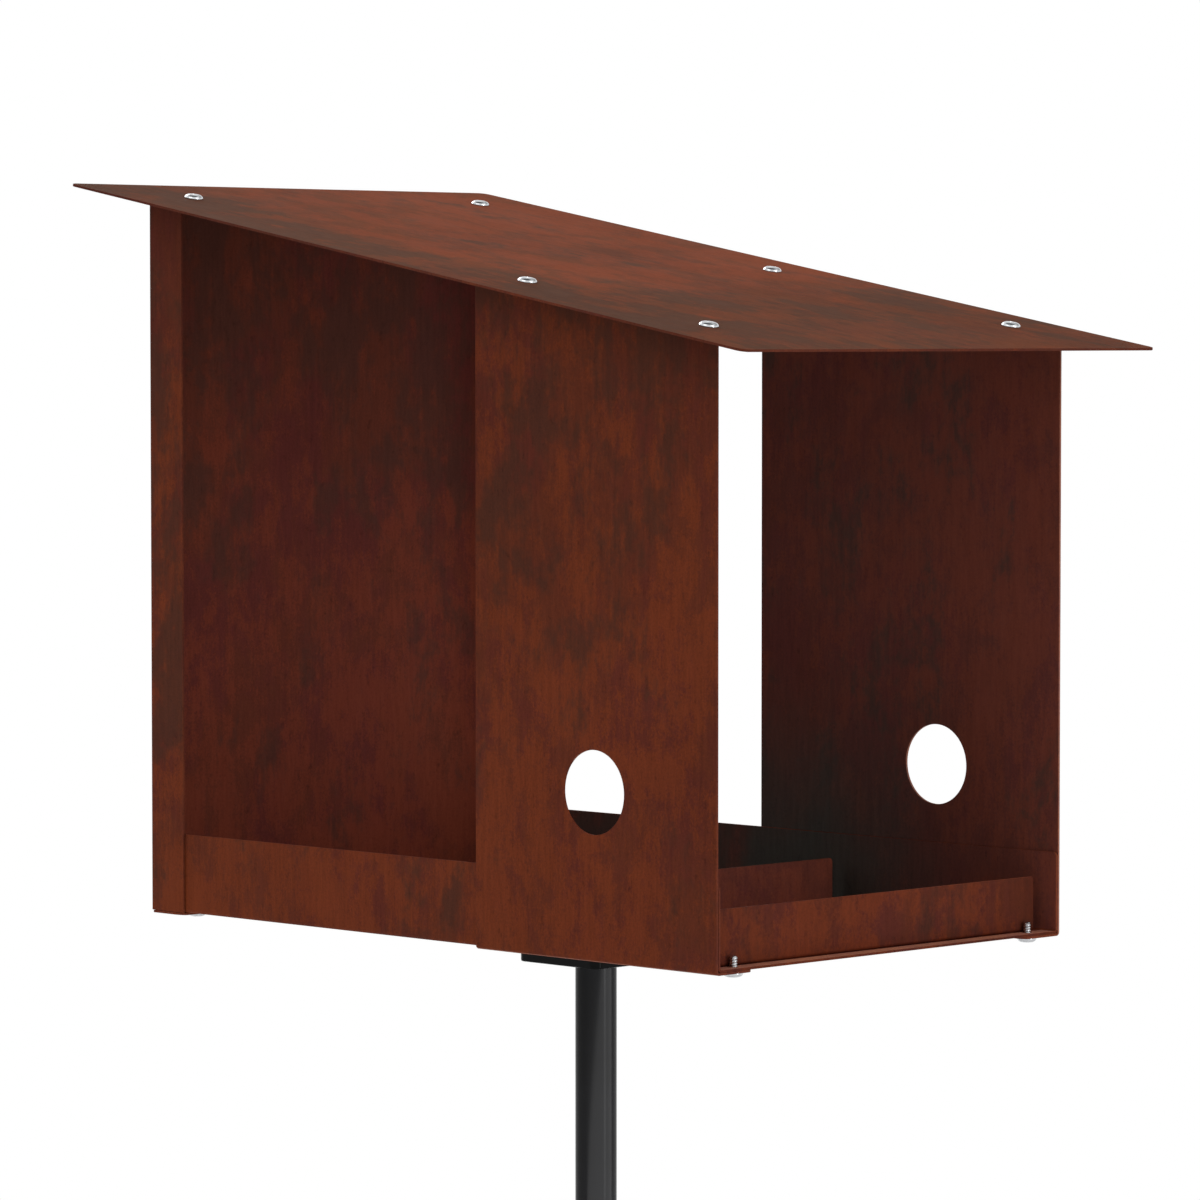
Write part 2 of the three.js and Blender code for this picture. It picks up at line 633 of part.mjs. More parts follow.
blockScrewPlaces().forEach(([x, y], i) => {
  const screw = piece(`block_screw_${i + 1}`, panHeadScrew(BLOCK_SCREW_LENGTH), zincSteel);
  screw.position.set(x, y, FLOOR_TOP + STACK_GAP);
  house.add(screw);
});

const block = new THREE.Group();
block.position.z = BLOCK_UNDERSIDE_Z;
birdHouse.add(block);
block.add(piece('head_block', headBlock(), blackPaint));
const grub = piece('pole_grub_screw', grubScrew(), zincSteel);
grub.rotation.x = -Math.PI / 2;
grub.position.set(0, POLE_DIAMETER / 2 + POLE_FIT, BLOCK_SOCKET_DEPTH / 2);
block.add(grub);

birdHouse.add(piece('upper_pole', upperPole(), blackPaint));
birdHouse.add(piece('lower_pole', lowerPole(), blackPaint));
birdHouse.add(piece('ground_spike', groundSpike(), blackPaint));

export default birdHouse;
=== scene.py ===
import math

import bmesh
import bpy
from mathutils import Matrix, Quaternion, Vector


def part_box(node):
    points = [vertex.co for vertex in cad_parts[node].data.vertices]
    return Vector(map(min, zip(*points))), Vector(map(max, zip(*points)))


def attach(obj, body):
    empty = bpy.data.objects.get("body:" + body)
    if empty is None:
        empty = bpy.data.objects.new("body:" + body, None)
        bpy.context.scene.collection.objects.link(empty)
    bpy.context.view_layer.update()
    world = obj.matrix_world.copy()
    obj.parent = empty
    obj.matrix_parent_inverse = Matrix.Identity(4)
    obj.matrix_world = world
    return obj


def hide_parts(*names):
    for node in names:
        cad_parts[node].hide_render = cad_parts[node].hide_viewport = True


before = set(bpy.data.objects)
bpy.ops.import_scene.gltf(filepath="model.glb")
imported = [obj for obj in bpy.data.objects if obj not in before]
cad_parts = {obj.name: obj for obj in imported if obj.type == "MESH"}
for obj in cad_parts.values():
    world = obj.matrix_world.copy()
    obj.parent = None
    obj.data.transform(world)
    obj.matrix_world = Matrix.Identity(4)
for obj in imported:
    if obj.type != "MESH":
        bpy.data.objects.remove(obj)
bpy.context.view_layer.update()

# ---- Sizes, in metres ----

SHEET = 0.0015
BEND_RADIUS = 0.00175          # of the sheet's middle plane
BEND_STEPS = 6
ROOF_PITCH = math.radians(10)
ROOF_GAP = 0.0003              # between the top flanges and the roof
FLANGE_CORNER = 0.005
REAR_FLANGE_CORNER = 0.010
REAR_FOOT = 0.0017             # height of the rear wall's returns over its underside
RELIEF_SLIT = 0.0005
RELIEF_DEPTH = 0.0028
REAR_FOLD_SETBACK = 0.0038     # of the rear wall's top and bottom folds, from its sides
ROOF_CORNER = 0.006
LIP_CORNER = 0.0025
TRAY_CORNER = 0.0025
CORNER_STEPS = 8
LARGE_CORNER_STEPS = 12
EDGE_ROUND = 0.0002
FOLD_GLINT = (0.70, 0.97)     # how far down the faces of a fold point where it takes a painted glint

ENTRY_HOLE = 0.050
ENTRY_HOLE_FROM_FRONT = 0.100
ENTRY_HOLE_HEIGHT = 0.100
ENTRY_HOLE_SIDES = 96
SCREW_HOLE = 0.0056
SCREW_HOLE_SIDES = 32
DRILL_LENGTH = 0.012

SCREW_SEAT_GAP = 0.0001
SCREW_HEAD = 0.0118
SCREW_HEAD_HEIGHT = 0.00275
SCREW_RIM = 0.0004
SCREW_CROWN = 0.0044
SCREW_EDGE_ROUND = 0.00006
SCREW_SOCKET = 0.003
SCREW_SOCKET_DEPTH = 0.0016
SCREW_THREAD = 0.005
SCREW_CORE = 0.0041
SCREW_PITCH = 0.0016
SCREW_TAPER = 0.0012           # length of the thread's tapered end
SCREW_SIDES = 48
DOME_STEPS = 9
THREAD_STEPS = 24              # around one turn
THREAD_CUTS = 4                # across one turn's profile

GRUB_THREAD = 0.006
GRUB_CORE = 0.0049
GRUB_PITCH = 0.001
GRUB_TAPER = 0.0006
GRUB_SOCKET = 0.003
GRUB_SOCKET_DEPTH = 0.003

BLOCK_CORNER = 0.006
BLOCK_CHAMFER = 0.001
BLOCK_EDGE_ROUND = 0.0002
BLOCK_SOCKET_DEPTH = 0.020
POLE_WALL = 0.0015
POLE_FIT = 0.0003
POLE_EDGE_ROUND = 0.0003
POLE_SIDES = 64
SPIGOT_ROOT = 0.003
SPIKE_SHANK = 0.010            # radius
SPIKE_POINT = 0.060            # length of the tapered end
SPIKE_TIP = 0.0004             # radius
SPIKE_COLLAR_HEIGHT = 0.004

# A dark earthy colour laid low down inside, towards the rear: painted shade.
PAINTED_SHADE_HEIGHT = 0.19            # over the floor, where the painted shade inside ends
PAINTED_SHADE_FRONT = -0.23            # place in the house's depth where it begins
PAINTED_SHADE_DEEPEST = -0.04            # and where it is darkest
PAINTED_SHADE_REST = 0.5               # share of it behind the right panel
PAINTED_SHADE_STEP = 0.02              # width of the change behind that panel

NEAR = 0.00005                 # places closer than this are the same
WELD = 0.000001                # corners closer than this are merged

# ---- Angles, in radians ----

SMOOTH_ANGLE = math.radians(35)
SHEET_SMOOTH_ANGLE = math.radians(20)
TURN_ACROSS = 40               # per metre of place: each screw stops at a turn of its own
TURN_ALONG = 9
BLOCK_TURN_ACROSS = 50

UPRIGHT = (0, 0, 0)
LYING = (math.pi / 2, 0, 0)

# ---- Places, from the frame ----

left_low, left_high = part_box("left_panel")
right_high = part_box("right_panel")[1]
rear_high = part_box("rear_wall")[1]
tray_low, tray_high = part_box("feed_tray")
roof_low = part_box("roof")[0]

house_floor = left_low.z       # underside of the folded-in bottom flanges
rear_face = rear_high.y


def flange_plane(y):
    """Height of the plane that the roof lies over, at a place in the house's depth."""
    return left_high.z + (y - left_high.y) * math.tan(ROOF_PITCH)


# X across the roof, Y up the slope from the rear wall's top edge, Z square to the roof.
slope = Matrix.Translation((0, rear_face, flange_plane(rear_face))) @ Matrix.Rotation(ROOF_PITCH, 4, "X")
up = Vector((0, 0, 1))
down_through_roof = slope.to_3x3() @ -up


def middle_of(node):
    low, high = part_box(node)
    return (low + high) / 2


# ---- Workshop ----


def pick(part=None):
    """Selects one part alone, or nothing."""
    bpy.ops.object.select_all(action="DESELECT")
    if part:
        part.select_set(True)
        bpy.context.view_layer.objects.active = part


def take(name):
    """Names the primitive that was just added and puts its place into its mesh."""
    part = bpy.context.active_object
    part.name = name
    part.data.name = name
    bpy.ops.object.transform_apply(location=True, rotation=True, scale=True)
    return part


def flat_blank(name, centre, width, depth, turn=(0, 0, 0)):
    pick()
    bpy.ops.mesh.primitive_plane_add(size=1, location=centre, rotation=turn)
    bpy.context.active_object.scale = (width, depth, 1)
    return take(name)


def round_bar(name, point, way, diameter, length, sides):
    turn = Vector(way).to_track_quat("Z", "Y").to_euler()
    pick()
    bpy.ops.mesh.primitive_cylinder_add(
        vertices=sides, radius=diameter / 2, depth=length, location=point, rotation=turn)
    return take(name)


def hex_bar(name, across_flats, low, high):
    pick()
    bpy.ops.mesh.primitive_cylinder_add(
        vertices=6, radius=across_flats / math.sqrt(3), depth=high - low,
        location=(0, 0, (low + high) / 2))
    return take(name)


def edit(part):
    pick(part)
    bpy.ops.object.mode_set(mode="EDIT")


def leave_edit():
    bpy.ops.object.mode_set(mode="OBJECT")


def choose_all():
    bpy.ops.mesh.select_all(action="SELECT")


def choose(part, kind, test):
    """In edit mode, selects the corners, edges or faces that pass a test."""
    modes = {"verts": "VERT", "edges": "EDGE", "faces": "FACE"}
    bpy.ops.mesh.select_mode(type=modes[kind])
    bpy.ops.mesh.select_all(action="DESELECT")
    mesh = bmesh.from_edit_mesh(part.data)
    for item in getattr(mesh, kind):
        if test(item):
            item.select_set(True)
    mesh.select_flush_mode()
    bmesh.update_edit_mesh(part.data)


def lies_at(item, **place):
    """True if a corner, or every corner of an edge or face, lies at the given coordinates."""
    corners = item.verts if hasattr(item, "verts") else [item]
    return all(
        abs(getattr(corner.co, axis) - value) < NEAR
        for corner in corners
        for axis, value in place.items()
    )


def fold_out(part, way, test):
    """Extrudes the open edges that pass the test, as a flange."""
    choose(part, "edges", lambda edge: edge.is_boundary and test(edge))
    bpy.ops.mesh.extrude_edges_move(TRANSFORM_OT_translate={"value": way})


def move_corners(part, way, test):
    choose(part, "verts", test)
    bpy.ops.transform.translate(value=way)


def bend(part, test, setback=BEND_RADIUS):
    """Rounds the folds that pass the test."""
    choose(part, "edges", lambda edge: not edge.is_boundary and test(edge))
    bpy.ops.mesh.bevel(offset=setback, offset_type="OFFSET", segments=BEND_STEPS, affect="EDGES")


def round_corners(part, radius, test, steps=CORNER_STEPS):
    choose(part, "verts", test)
    bpy.ops.mesh.bevel(offset=radius, offset_type="OFFSET", segments=steps, affect="VERTICES")


def divide(part, point, way, test):
    """Divides the faces that pass the test along a plane."""
    choose(part, "faces", test)
    bpy.ops.mesh.bisect(plane_co=point, plane_no=way)


def cut_off(height, above):
    """In edit mode, removes what lies above or below a height and closes the cut."""
    choose_all()
    bpy.ops.mesh.bisect(
        plane_co=(0, 0, height), plane_no=up, use_fill=True, clear_outer=above, clear_inner=not above)


def weld():
    """In edit mode, merges corners that lie in one place."""
    choose_all()
    bpy.ops.mesh.remove_doubles(threshold=WELD)


def face_outwards():
    choose_all()
    bpy.ops.mesh.normals_make_consistent(inside=False)


def apply_modifier(part, kind, **settings):
    pick(part)
    modifier = part.modifiers.new(kind.title(), kind)
    for name, value in settings.items():
        setattr(modifier, name, value)
    bpy.ops.object.modifier_apply(modifier=modifier.name)


def combine(part, other, operation):
    """Cuts, joins or trims a part with another one, which is used up."""
    apply_modifier(part, "BOOLEAN", object=other, operation=operation, solver="EXACT")
    bpy.data.objects.remove(other)


def drill(part, point, way, diameter, sides=SCREW_HOLE_SIDES, length=DRILL_LENGTH):
    """Cuts a round hole that reaches half the drill's length to either side of a point."""
    combine(part, round_bar("drill", point, way, diameter, length, sides), "DIFFERENCE")


def round_edges(part, width, sharper_than, clamp=False, **settings):
    """Rounds the edges that turn by more than an angle, in degrees."""
    apply_modifier(
        part, "BEVEL", width=width, segments=2, limit_method="ANGLE",
        angle_limit=math.radians(sharper_than), use_clamp_overlap=clamp, **settings)


def smooth(part, angle=SMOOTH_ANGLE):
    pick(part)
    bpy.ops.object.shade_smooth_by_angle(angle=angle)


def keep_faces_flat(part):
    """Lets the large faces rule the shading, so that rounded edges don't dent it."""
    apply_modifier(part, "WEIGHTED_NORMAL", mode="FACE_AREA", keep_sharp=True)


def refinish(part, finish, test):
    """Gives another finish to the faces that pass the test."""
    if finish.name not in part.data.materials:
        part.data.materials.append(finish)
    edit(part)
    choose(part, "faces", test)
    part.active_material_index = part.data.materials.find(finish.name)
    bpy.ops.object.material_slot_assign()
    leave_edit()


def turned(name, profile, sides):
    """Turns a profile of radius and height about Z, ring by ring, from the first ring to the last.
    A profile that ends where it starts closes on itself, and any other is capped at both ends."""
    radius, height = profile[0]
    pick()
    bpy.ops.mesh.primitive_circle_add(vertices=sides, radius=radius, location=(0, 0, height))
    part = take(name)
    edit(part)
    bpy.ops.mesh.select_mode(type="EDGE")
    choose_all()
    for next_radius, next_height in profile[1:]:
        bpy.ops.mesh.extrude_edges_move(
            TRANSFORM_OT_translate={"value": (0, 0, next_height - height)})
        if next_radius != radius:
            ratio = next_radius / radius
            bpy.ops.transform.resize(
                value=(ratio, ratio, 1), center_override=(0, 0, next_height))
        radius, height = next_radius, next_height
    if profile[-1] != profile[0]:
        bpy.ops.mesh.edge_face_add()
        first = profile[0][1]
        choose(part, "edges", lambda edge: edge.is_boundary and lies_at(edge, z=first))
        bpy.ops.mesh.edge_face_add()
    weld()
    face_outwards()
    leave_edit()
    return part


def place_copy(pattern, name, placement):
    """A copy with a mesh of its own, put where it goes."""
    part = pattern.copy()
    part.data = pattern.data.copy()
    part.name = name
    part.data.name = name
    bpy.context.scene.collection.objects.link(part)
    part.data.transform(placement)
    part.data.update()
    return part


def fit(part, body, node):
    """Hands a finished piece to the frame in place of its CAD node."""
    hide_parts(node)
    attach(part, body)


# ---- Finishes ----


def linear(red, green, blue):
    """A colour as a paint chart gives it, from 0 to 255, as the shader's linear values."""
    return tuple(((value / 255 + 0.055) / 1.055) ** 2.4 for value in (red, green, blue)) + (1,)


# A dark earthy colour, used for painted shade low down inside.
PAINTED_SHADE_COLOUR = linear(58, 56, 51)


def new_material(name):
    material = bpy.data.materials.new(name)
    material.use_nodes = True
    return material, material.node_tree, material.node_tree.nodes["Principled BSDF"]


def add(tree, kind, place=(0, 0), **settings):
    node = tree.nodes.new(kind)
    node.location = place
    for name, value in settings.items():
        setattr(node, name, value)
    return node


def feed(tree, socket, value):
    """Gives a socket a constant or a link."""
    if isinstance(value, (int, float, tuple)):
        socket.default_value = value
    else:
        tree.links.new(value, socket)


def noise(tree, vector, scale, detail, roughness, distortion=0, place=(0, 0)):
    node = add(tree, "ShaderNodeTexNoise", place)
    node.inputs["Scale"].default_value = scale
    node.inputs["Detail"].default_value = detail
    node.inputs["Roughness"].default_value = roughness
    node.inputs["Distortion"].default_value = distortion
    tree.links.new(vector, node.inputs["Vector"])
    return node.outputs["Fac"]


def mapping(tree, vector, setting, value, place=(0, 0)):
    """Scales or turns a place."""
    node = add(tree, "ShaderNodeMapping", place)
    node.inputs[setting].default_value = value
    tree.links.new(vector, node.inputs["Vector"])
    return node.outputs["Vector"]


def limits(tree, value, low, high, to_low=0, to_high=1, place=(0, 0)):
    """Turns a range of values into another one, with soft ends."""
    node = add(tree, "ShaderNodeMapRange", place, interpolation_type="SMOOTHSTEP")
    node.inputs["From Min"].default_value = low
    node.inputs["From Max"].default_value = high
    node.inputs["To Min"].default_value = to_low
    node.inputs["To Max"].default_value = to_high
    tree.links.new(value, node.inputs["Value"])
    return node.outputs["Result"]


def maths(tree, operation, first, second, place=(0, 0)):
    node = add(tree, "ShaderNodeMath", place, operation=operation)
    feed(tree, node.inputs[0], first)
    feed(tree, node.inputs[1], second)
    return node.outputs["Value"]


def mix_noise(tree, first, second, share):
    """A noise that a second one, scaled by its share, lifts and lowers."""
    swing = maths(tree, "MULTIPLY", maths(tree, "SUBTRACT", second, 0.5), share)
    return maths(tree, "ADD", first, swing)


def blend_colours(tree, share, first, second, place=(0, 0)):
    node = add(tree, "ShaderNodeMix", place, data_type="RGBA")
    feed(tree, node.inputs[0], share)
    feed(tree, node.inputs[6], first)
    feed(tree, node.inputs[7], second)
    return node.outputs[2]


def mix_shaders(tree, share, first, second, place=(0, 0)):
    node = add(tree, "ShaderNodeMixShader", place)
    tree.links.new(share, node.inputs[0])
    tree.links.new(first.outputs[0], node.inputs[1])
    tree.links.new(second.outputs[0], node.inputs[2])
    return node


def add_bump(tree, surface, height, strength, distance, place):
    bump = add(tree, "ShaderNodeBump", place)
    bump.inputs["Strength"].default_value = strength
    bump.inputs["Distance"].default_value = distance
    tree.links.new(height, bump.inputs["Height"])
    tree.links.new(bump.outputs["Normal"], surface.inputs["Normal"])


def make_rust_group():
    """Rust patina: red flushes, dull patches, orange blooms, specks and faint runs along the Place's Z.
    Wet, from 0 to 1, gives more blooms and fewer dull patches. Tone lightens or darkens it all.
    The Painted shade input is the share that a dark earthy colour covers, as painted shade."""
    tree = bpy.data.node_groups.new("rust_patina", "ShaderNodeTree")
    for way, kind, names in (
        ("INPUT", "Vector", ("Place",)),
        ("INPUT", "Float", ("Wet",)),
        ("INPUT", "Color", ("Base", "Flush", "Dull", "Bloom")),
        ("INPUT", "Float", ("Dull share", "Bloom share", "Tone", "Painted shade")),
        ("OUTPUT", "Color", ("Color",)),
        ("OUTPUT", "Float", ("Roughness", "Height")),
    ):
        for name in names:
            tree.interface.new_socket(name, in_out=way, socket_type="NodeSocket" + kind)
    into = add(tree, "NodeGroupInput", (-1500, 0)).outputs
    out = add(tree, "NodeGroupOutput", (1100, 0)).inputs
    place = into["Place"]
    wet = into["Wet"]

    upright = mapping(tree, place, "Scale", (1, 1, 0.7), (-1300, 400))
    long_runs = mapping(tree, place, "Scale", (1, 1, 0.1), (-1300, 0))
    short_runs = mapping(tree, place, "Scale", (1, 1, 0.12), (-1300, -200))
    broad = noise(tree, place, 4.5, 3, 0.5, 0.3, (-1100, 600))
    flushes = noise(tree, upright, 13, 9, 0.66, 0.2, (-1100, 800))
    patches = noise(tree, upright, 16, 12, 0.74, 0.15, (-1100, 400))
    blooms = noise(tree, upright, 36, 12, 0.76, 0.15, (-1100, 200))
    specks = noise(tree, upright, 260, 4, 0.6, 0, (-1100, 0))
    streaks = noise(tree, long_runs, 110, 5, 0.6, 0, (-1100, 100))
    runs = noise(tree, short_runs, 330, 4, 0.65, 0, (-1100, -200))
    grain = noise(tree, place, 620, 5, 0.75, 0, (-1100, -400))

    dry_patches = mix_noise(tree, mix_noise(tree, patches, streaks, 0.16), wet, -0.10)
    dry_patches = mix_noise(tree, dry_patches, grain, 0.10)
    wet_blooms = mix_noise(tree, mix_noise(tree, blooms, broad, 0.3), wet, 0.10)
    wet_blooms = mix_noise(tree, mix_noise(tree, wet_blooms, streaks, -0.16), grain, 0.16)
    flush_mask = limits(tree, mix_noise(tree, flushes, streaks, 0.2), 0.42, 0.60, place=(-700, 600))
    dull_mask = limits(tree, dry_patches, 0.49, 0.60, place=(-700, 400))
    bloom_mask = limits(tree, wet_blooms, 0.47, 0.60, place=(-700, 200))
    dull_share = maths(tree, "MULTIPLY", dull_mask, into["Dull share"], (-400, 400))
    bloom_share = maths(tree, "MULTIPLY", bloom_mask, into["Bloom share"], (-400, 200))
    colour = blend_colours(tree, flush_mask, into["Base"], into["Flush"], (-300, 600))
    colour = blend_colours(tree, bloom_share, colour, into["Bloom"], (-100, 200))
    colour = blend_colours(tree, dull_share, colour, into["Dull"], (100, 200))
    # Painted shade: the dark earthy colour, mottled, laid over where the shade input asks for it.
    painted_shade_edge = mix_noise(tree, into["Painted shade"], patches, 0.5)
    painted_shade_mask = limits(tree, painted_shade_edge, 0, 1, place=(150, 400))
    colour = blend_colours(tree, painted_shade_mask, colour, PAINTED_SHADE_COLOUR, (300, 200))

    tone = limits(tree, broad, 0.3, 0.7, 0.92, 1.08, (-400, 0))
    for step, (pattern, low, high, darker, lighter) in enumerate((
        (runs, 0.3, 0.7, -0.09, 0.09),
        (grain, 0.3, 0.7, -0.12, 0.12),
        (specks, 0.58, 0.74, 0, -0.22),
    )):
        change = limits(tree, pattern, low, high, darker, lighter, (-400, -200 * (step + 1)))
        tone = maths(tree, "ADD", tone, change, (-100 + 150 * step, -200))
    tone = maths(tree, "MULTIPLY", tone, into["Tone"], (350, -200))
    toned = add(tree, "ShaderNodeVectorMath", (500, 150), operation="SCALE")
    tree.links.new(colour, toned.inputs[0])
    tree.links.new(tone, toned.inputs["Scale"])
    tree.links.new(toned.outputs["Vector"], out["Color"])

    broad_roughness = limits(tree, patches, 0.3, 0.7, 0.72, 0.58, (500, -100))
    fine_roughness = limits(tree, grain, 0.3, 0.7, -0.04, 0.06, (500, -300))
    tree.links.new(
        maths(tree, "ADD", broad_roughness, fine_roughness, (700, -150)), out["Roughness"])
    grain_height = maths(tree, "MULTIPLY", grain, 0.6, (500, -500))
    bloom_height = maths(tree, "MULTIPLY", blooms, 0.8, (500, -700))
    tree.links.new(maths(tree, "ADD", grain_height, bloom_height, (700, -500)), out["Height"])
    return tree


def axes(tree, place):
    where = add(tree, "ShaderNodeSeparateXYZ", (-900, 250))
    tree.links.new(place, where.inputs["Vector"])
    return where.outputs


def weather(tree, place):
    """Outside, the faces get wetter down from the eaves, and a little lighter: painted shade under the
    eaves.
    """
    wet = limits(tree, axes(tree, place)["Z"], rear_high.z, house_floor, place=(-700, 250))
    return {"Wet": wet, "Tone": limits(tree, wet, 0, 1, 0.92, 1.03, (-550, 350))}


def indoors(tree, place):
    """Inside, rain blows in from the front and the faces get lighter towards it: painted light. Low down
    and towards the rear, painted shade is laid on, at half strength behind the right panel.
    """
    where = axes(tree, place)
    wet = limits(tree, where["Y"], rear_high.y, left_low.y, place=(-700, 250))
    low = limits(tree, where["Z"], house_floor + PAINTED_SHADE_HEIGHT, house_floor, place=(-700, 450))
    back = limits(tree, where["Y"], PAINTED_SHADE_FRONT, PAINTED_SHADE_DEEPEST, place=(-700, 650))
    rest = limits(
        tree, where["Y"], right_high.y, right_high.y + PAINTED_SHADE_STEP, 1, PAINTED_SHADE_REST, (-700, 850))
    # Painted shade: low down, towards the rear, at half strength behind the right panel.
    painted_shade = maths(tree, "MULTIPLY", maths(tree, "MULTIPLY", low, back, (-550, 550)), rest, (-400, 650))
    return {"Wet": wet, "Tone": limits(tree, wet, 0, 1, 0.94, 1.06, (-400, 450)), "Painted shade": painted_shade}


def on_top(tree, place):
    """Over the roof: the middle stays wet and orange, the left and front edges dry dull."""
    where = axes(tree, place)
    across = limits(tree, where["X"], roof_low.x, 0, place=(-700, 250))
    along = limits(tree, where["Y"], roof_low.y, rear_face / 2, place=(-700, 450))
    both = maths(tree, "MULTIPLY", across, along, (-550, 550))
    wet = limits(tree, both, 0, 0.8, -0.1, 1.1, (-400, 550))
    return {"Wet": wet, "Tone": limits(tree, along, 0, 1, 0.96, 1.03, (-550, 350))}


def on_tray(tree, place):
    """The feed tray, wetter and brighter towards its left end."""
    wet = limits(tree, axes(tree, place)["X"], tray_high.x, 0, place=(-700, 250))
    return {"Wet": wet, "Tone": limits(tree, wet, 0, 1, 0.94, 1.06, (-550, 350))}


def make_weathering_steel(name, turn, palette, dull_share, bloom_share, shine, exposure=weather):
    """Rusted sheet whose runs go down its Z once it is turned.
    The palette gives the base colour, the red flushes, the dull patches and the orange blooms."""
    material, tree, surface = new_material(name)
    place = add(tree, "ShaderNodeTexCoord", (-1100, 0)).outputs["Object"]
    rust = add(tree, "ShaderNodeGroup", (-350, 0))
    rust.node_tree = rust_patina
    tree.links.new(mapping(tree, place, "Rotation", turn, (-700, 0)), rust.inputs["Place"])
    for socket, mask in exposure(tree, place).items():
        tree.links.new(mask, rust.inputs[socket])
    for socket, colour in zip(("Base", "Flush", "Dull", "Bloom"), palette):
        rust.inputs[socket].default_value = linear(*colour)
    rust.inputs["Dull share"].default_value = dull_share
    rust.inputs["Bloom share"].default_value = bloom_share
    tree.links.new(rust.outputs["Color"], surface.inputs["Base Color"])
    tree.links.new(rust.outputs["Roughness"], surface.inputs["Roughness"])
    surface.inputs["Specular IOR Level"].default_value = shine
    add_bump(tree, surface, rust.outputs["Height"], 0.25, 0.0002, (-200, -300))
    return material


rust_patina = make_rust_group()
outer_steel = make_weathering_steel(
    "weathering_steel_outside", UPRIGHT,
    ((93, 43, 26), (89, 39, 28), (72, 39, 27), (109, 49, 25)), 0.8, 0.8, 0.05)
# Inner faces of the side panels and the base's lips: a lighter, greyer copy of the rust, painted light
# for the shaded inside.
inner_face_painted_light_steel = make_weathering_steel(
    "weathering_steel_inner_face_painted_light", UPRIGHT,
    ((95, 47, 37), (93, 44, 38), (73, 45, 37), (112, 53, 37)), 0.9, 0.7, 0.19, indoors)
# Rear wall's inner face and the base's floor: a lighter copy of the rust, painted light for the shaded
# inside.
rear_wall_painted_light_steel = make_weathering_steel(
    "weathering_steel_rear_wall_painted_light", UPRIGHT,
    ((98, 47, 33), (94, 42, 36), (77, 44, 35), (115, 52, 35)), 0.75, 0.75, 0.06)
tray_steel = make_weathering_steel(
    "weathering_steel_feed_tray", UPRIGHT,
    ((83, 38, 24), (79, 35, 27), (64, 34, 24), (101, 45, 24)), 0.7, 0.8, 0.05, on_tray)
# The feed tray's rear wall, inside: a much lighter copy of the rust, painted light.
tray_rear_painted_light_steel = make_weathering_steel(
    "weathering_steel_feed_tray_rear_painted_light", UPRIGHT,
    ((110, 57, 45), (107, 53, 47), (88, 53, 46), (127, 63, 46)), 0.75, 0.75, 0.12)
# The roof's sheen is painted into this lighter colour, and its own shine is kept low.
roof_painted_sheen_steel = make_weathering_steel(
    "weathering_steel_roof_painted_sheen", LYING,
    ((112, 64, 43), (107, 62, 45), (87, 57, 42), (131, 67, 43)), 0.85, 0.8, 0.01, on_top)
# Cut and rounded edges: a little lighter and greyer, as rust on a cut edge and as a painted highlight.
edge_rust_and_highlight = make_weathering_steel(
    "weathering_steel_edge_rust_and_highlight", UPRIGHT,
    ((96, 47, 33), (92, 44, 34), (80, 43, 32), (110, 54, 34)), 0.4, 0.8, 0.04)
# Much lighter: wear and painted highlight on the entry rim, and a painted reflection on the lower folds.
rim_wear_and_glint = make_weathering_steel(
    "weathering_steel_rim_wear_and_glint", UPRIGHT,
    ((138, 92, 78), (134, 88, 78), (118, 84, 74), (150, 98, 78)), 0.4, 0.8, 0.04)
# Lighter still, for the open strip of floor: painted light and sheen.
floor_strip_painted_light_steel = make_weathering_steel(
    "weathering_steel_floor_strip_painted_light", LYING,
    ((173, 114, 93), (168, 110, 92), (148, 102, 86), (184, 121, 92)), 0.4, 0.8, 0.04)


def make_zinc():
    """Zinc plating, a little cloudy and unevenly bright."""
    material, tree, surface = new_material("zinc_plating")
    place = add(tree, "ShaderNodeTexCoord", (-900, 0)).outputs["Object"]
    cloud = noise(tree, place, 420, 5, 0.6, 0.3, (-700, 100))
    spots = noise(tree, place, 1600, 3, 0.6, 0, (-700, -150))
    cloud_mask = limits(tree, cloud, 0.35, 0.7, place=(-500, 100))
    colour = blend_colours(
        tree, cloud_mask, linear(216, 218, 220), linear(188, 190, 193), (-250, 150))
    tree.links.new(colour, surface.inputs["Base Color"])
    roughness = limits(tree, spots, 0.3, 0.7, 0.13, 0.24, (-250, -150))
    tree.links.new(roughness, surface.inputs["Roughness"])
    surface.inputs["Metallic"].default_value = 1
    return material


def make_black_coat():
    """Semi-gloss black powder coat with a fine orange peel."""
    material, tree, surface = new_material("black_powder_coat")
    place = add(tree, "ShaderNodeTexCoord", (-900, 0)).outputs["Object"]
    peel = noise(tree, place, 650, 3, 0.5, 0, (-700, -200))
    cloud = noise(tree, place, 16, 5, 0.6, 0.4, (-700, 150))
    cloud_mask = limits(tree, cloud, 0.35, 0.7, place=(-500, 150))
    colour = blend_colours(tree, cloud_mask, linear(17, 17, 18), linear(14, 14, 14.5), (-250, 150))
    tree.links.new(colour, surface.inputs["Base Color"])
    tree.links.new(limits(tree, cloud, 0.3, 0.7, 0.14, 0.20, (-250, -50)), surface.inputs["Roughness"])
    surface.inputs["Specular IOR Level"].default_value = 0.06
    add_bump(tree, surface, peel, 0.12, 0.0001, (-250, -250))
    return material


zinc_plating = make_zinc()
black_coat = make_black_coat()

# ---- Folded sheet ----

base_screws = [f"base_screw_{number}" for number in range(1, 7)]
roof_screws = [f"roof_screw_{number}" for number in range(1, 7)]
block_screws = [f"block_screw_{number}" for number in range(1, 5)]


def screw_holes(names, way):
    """A hole on the axis of each of these screws."""
    return [(middle_of(name), way, SCREW_HOLE) for name in names]


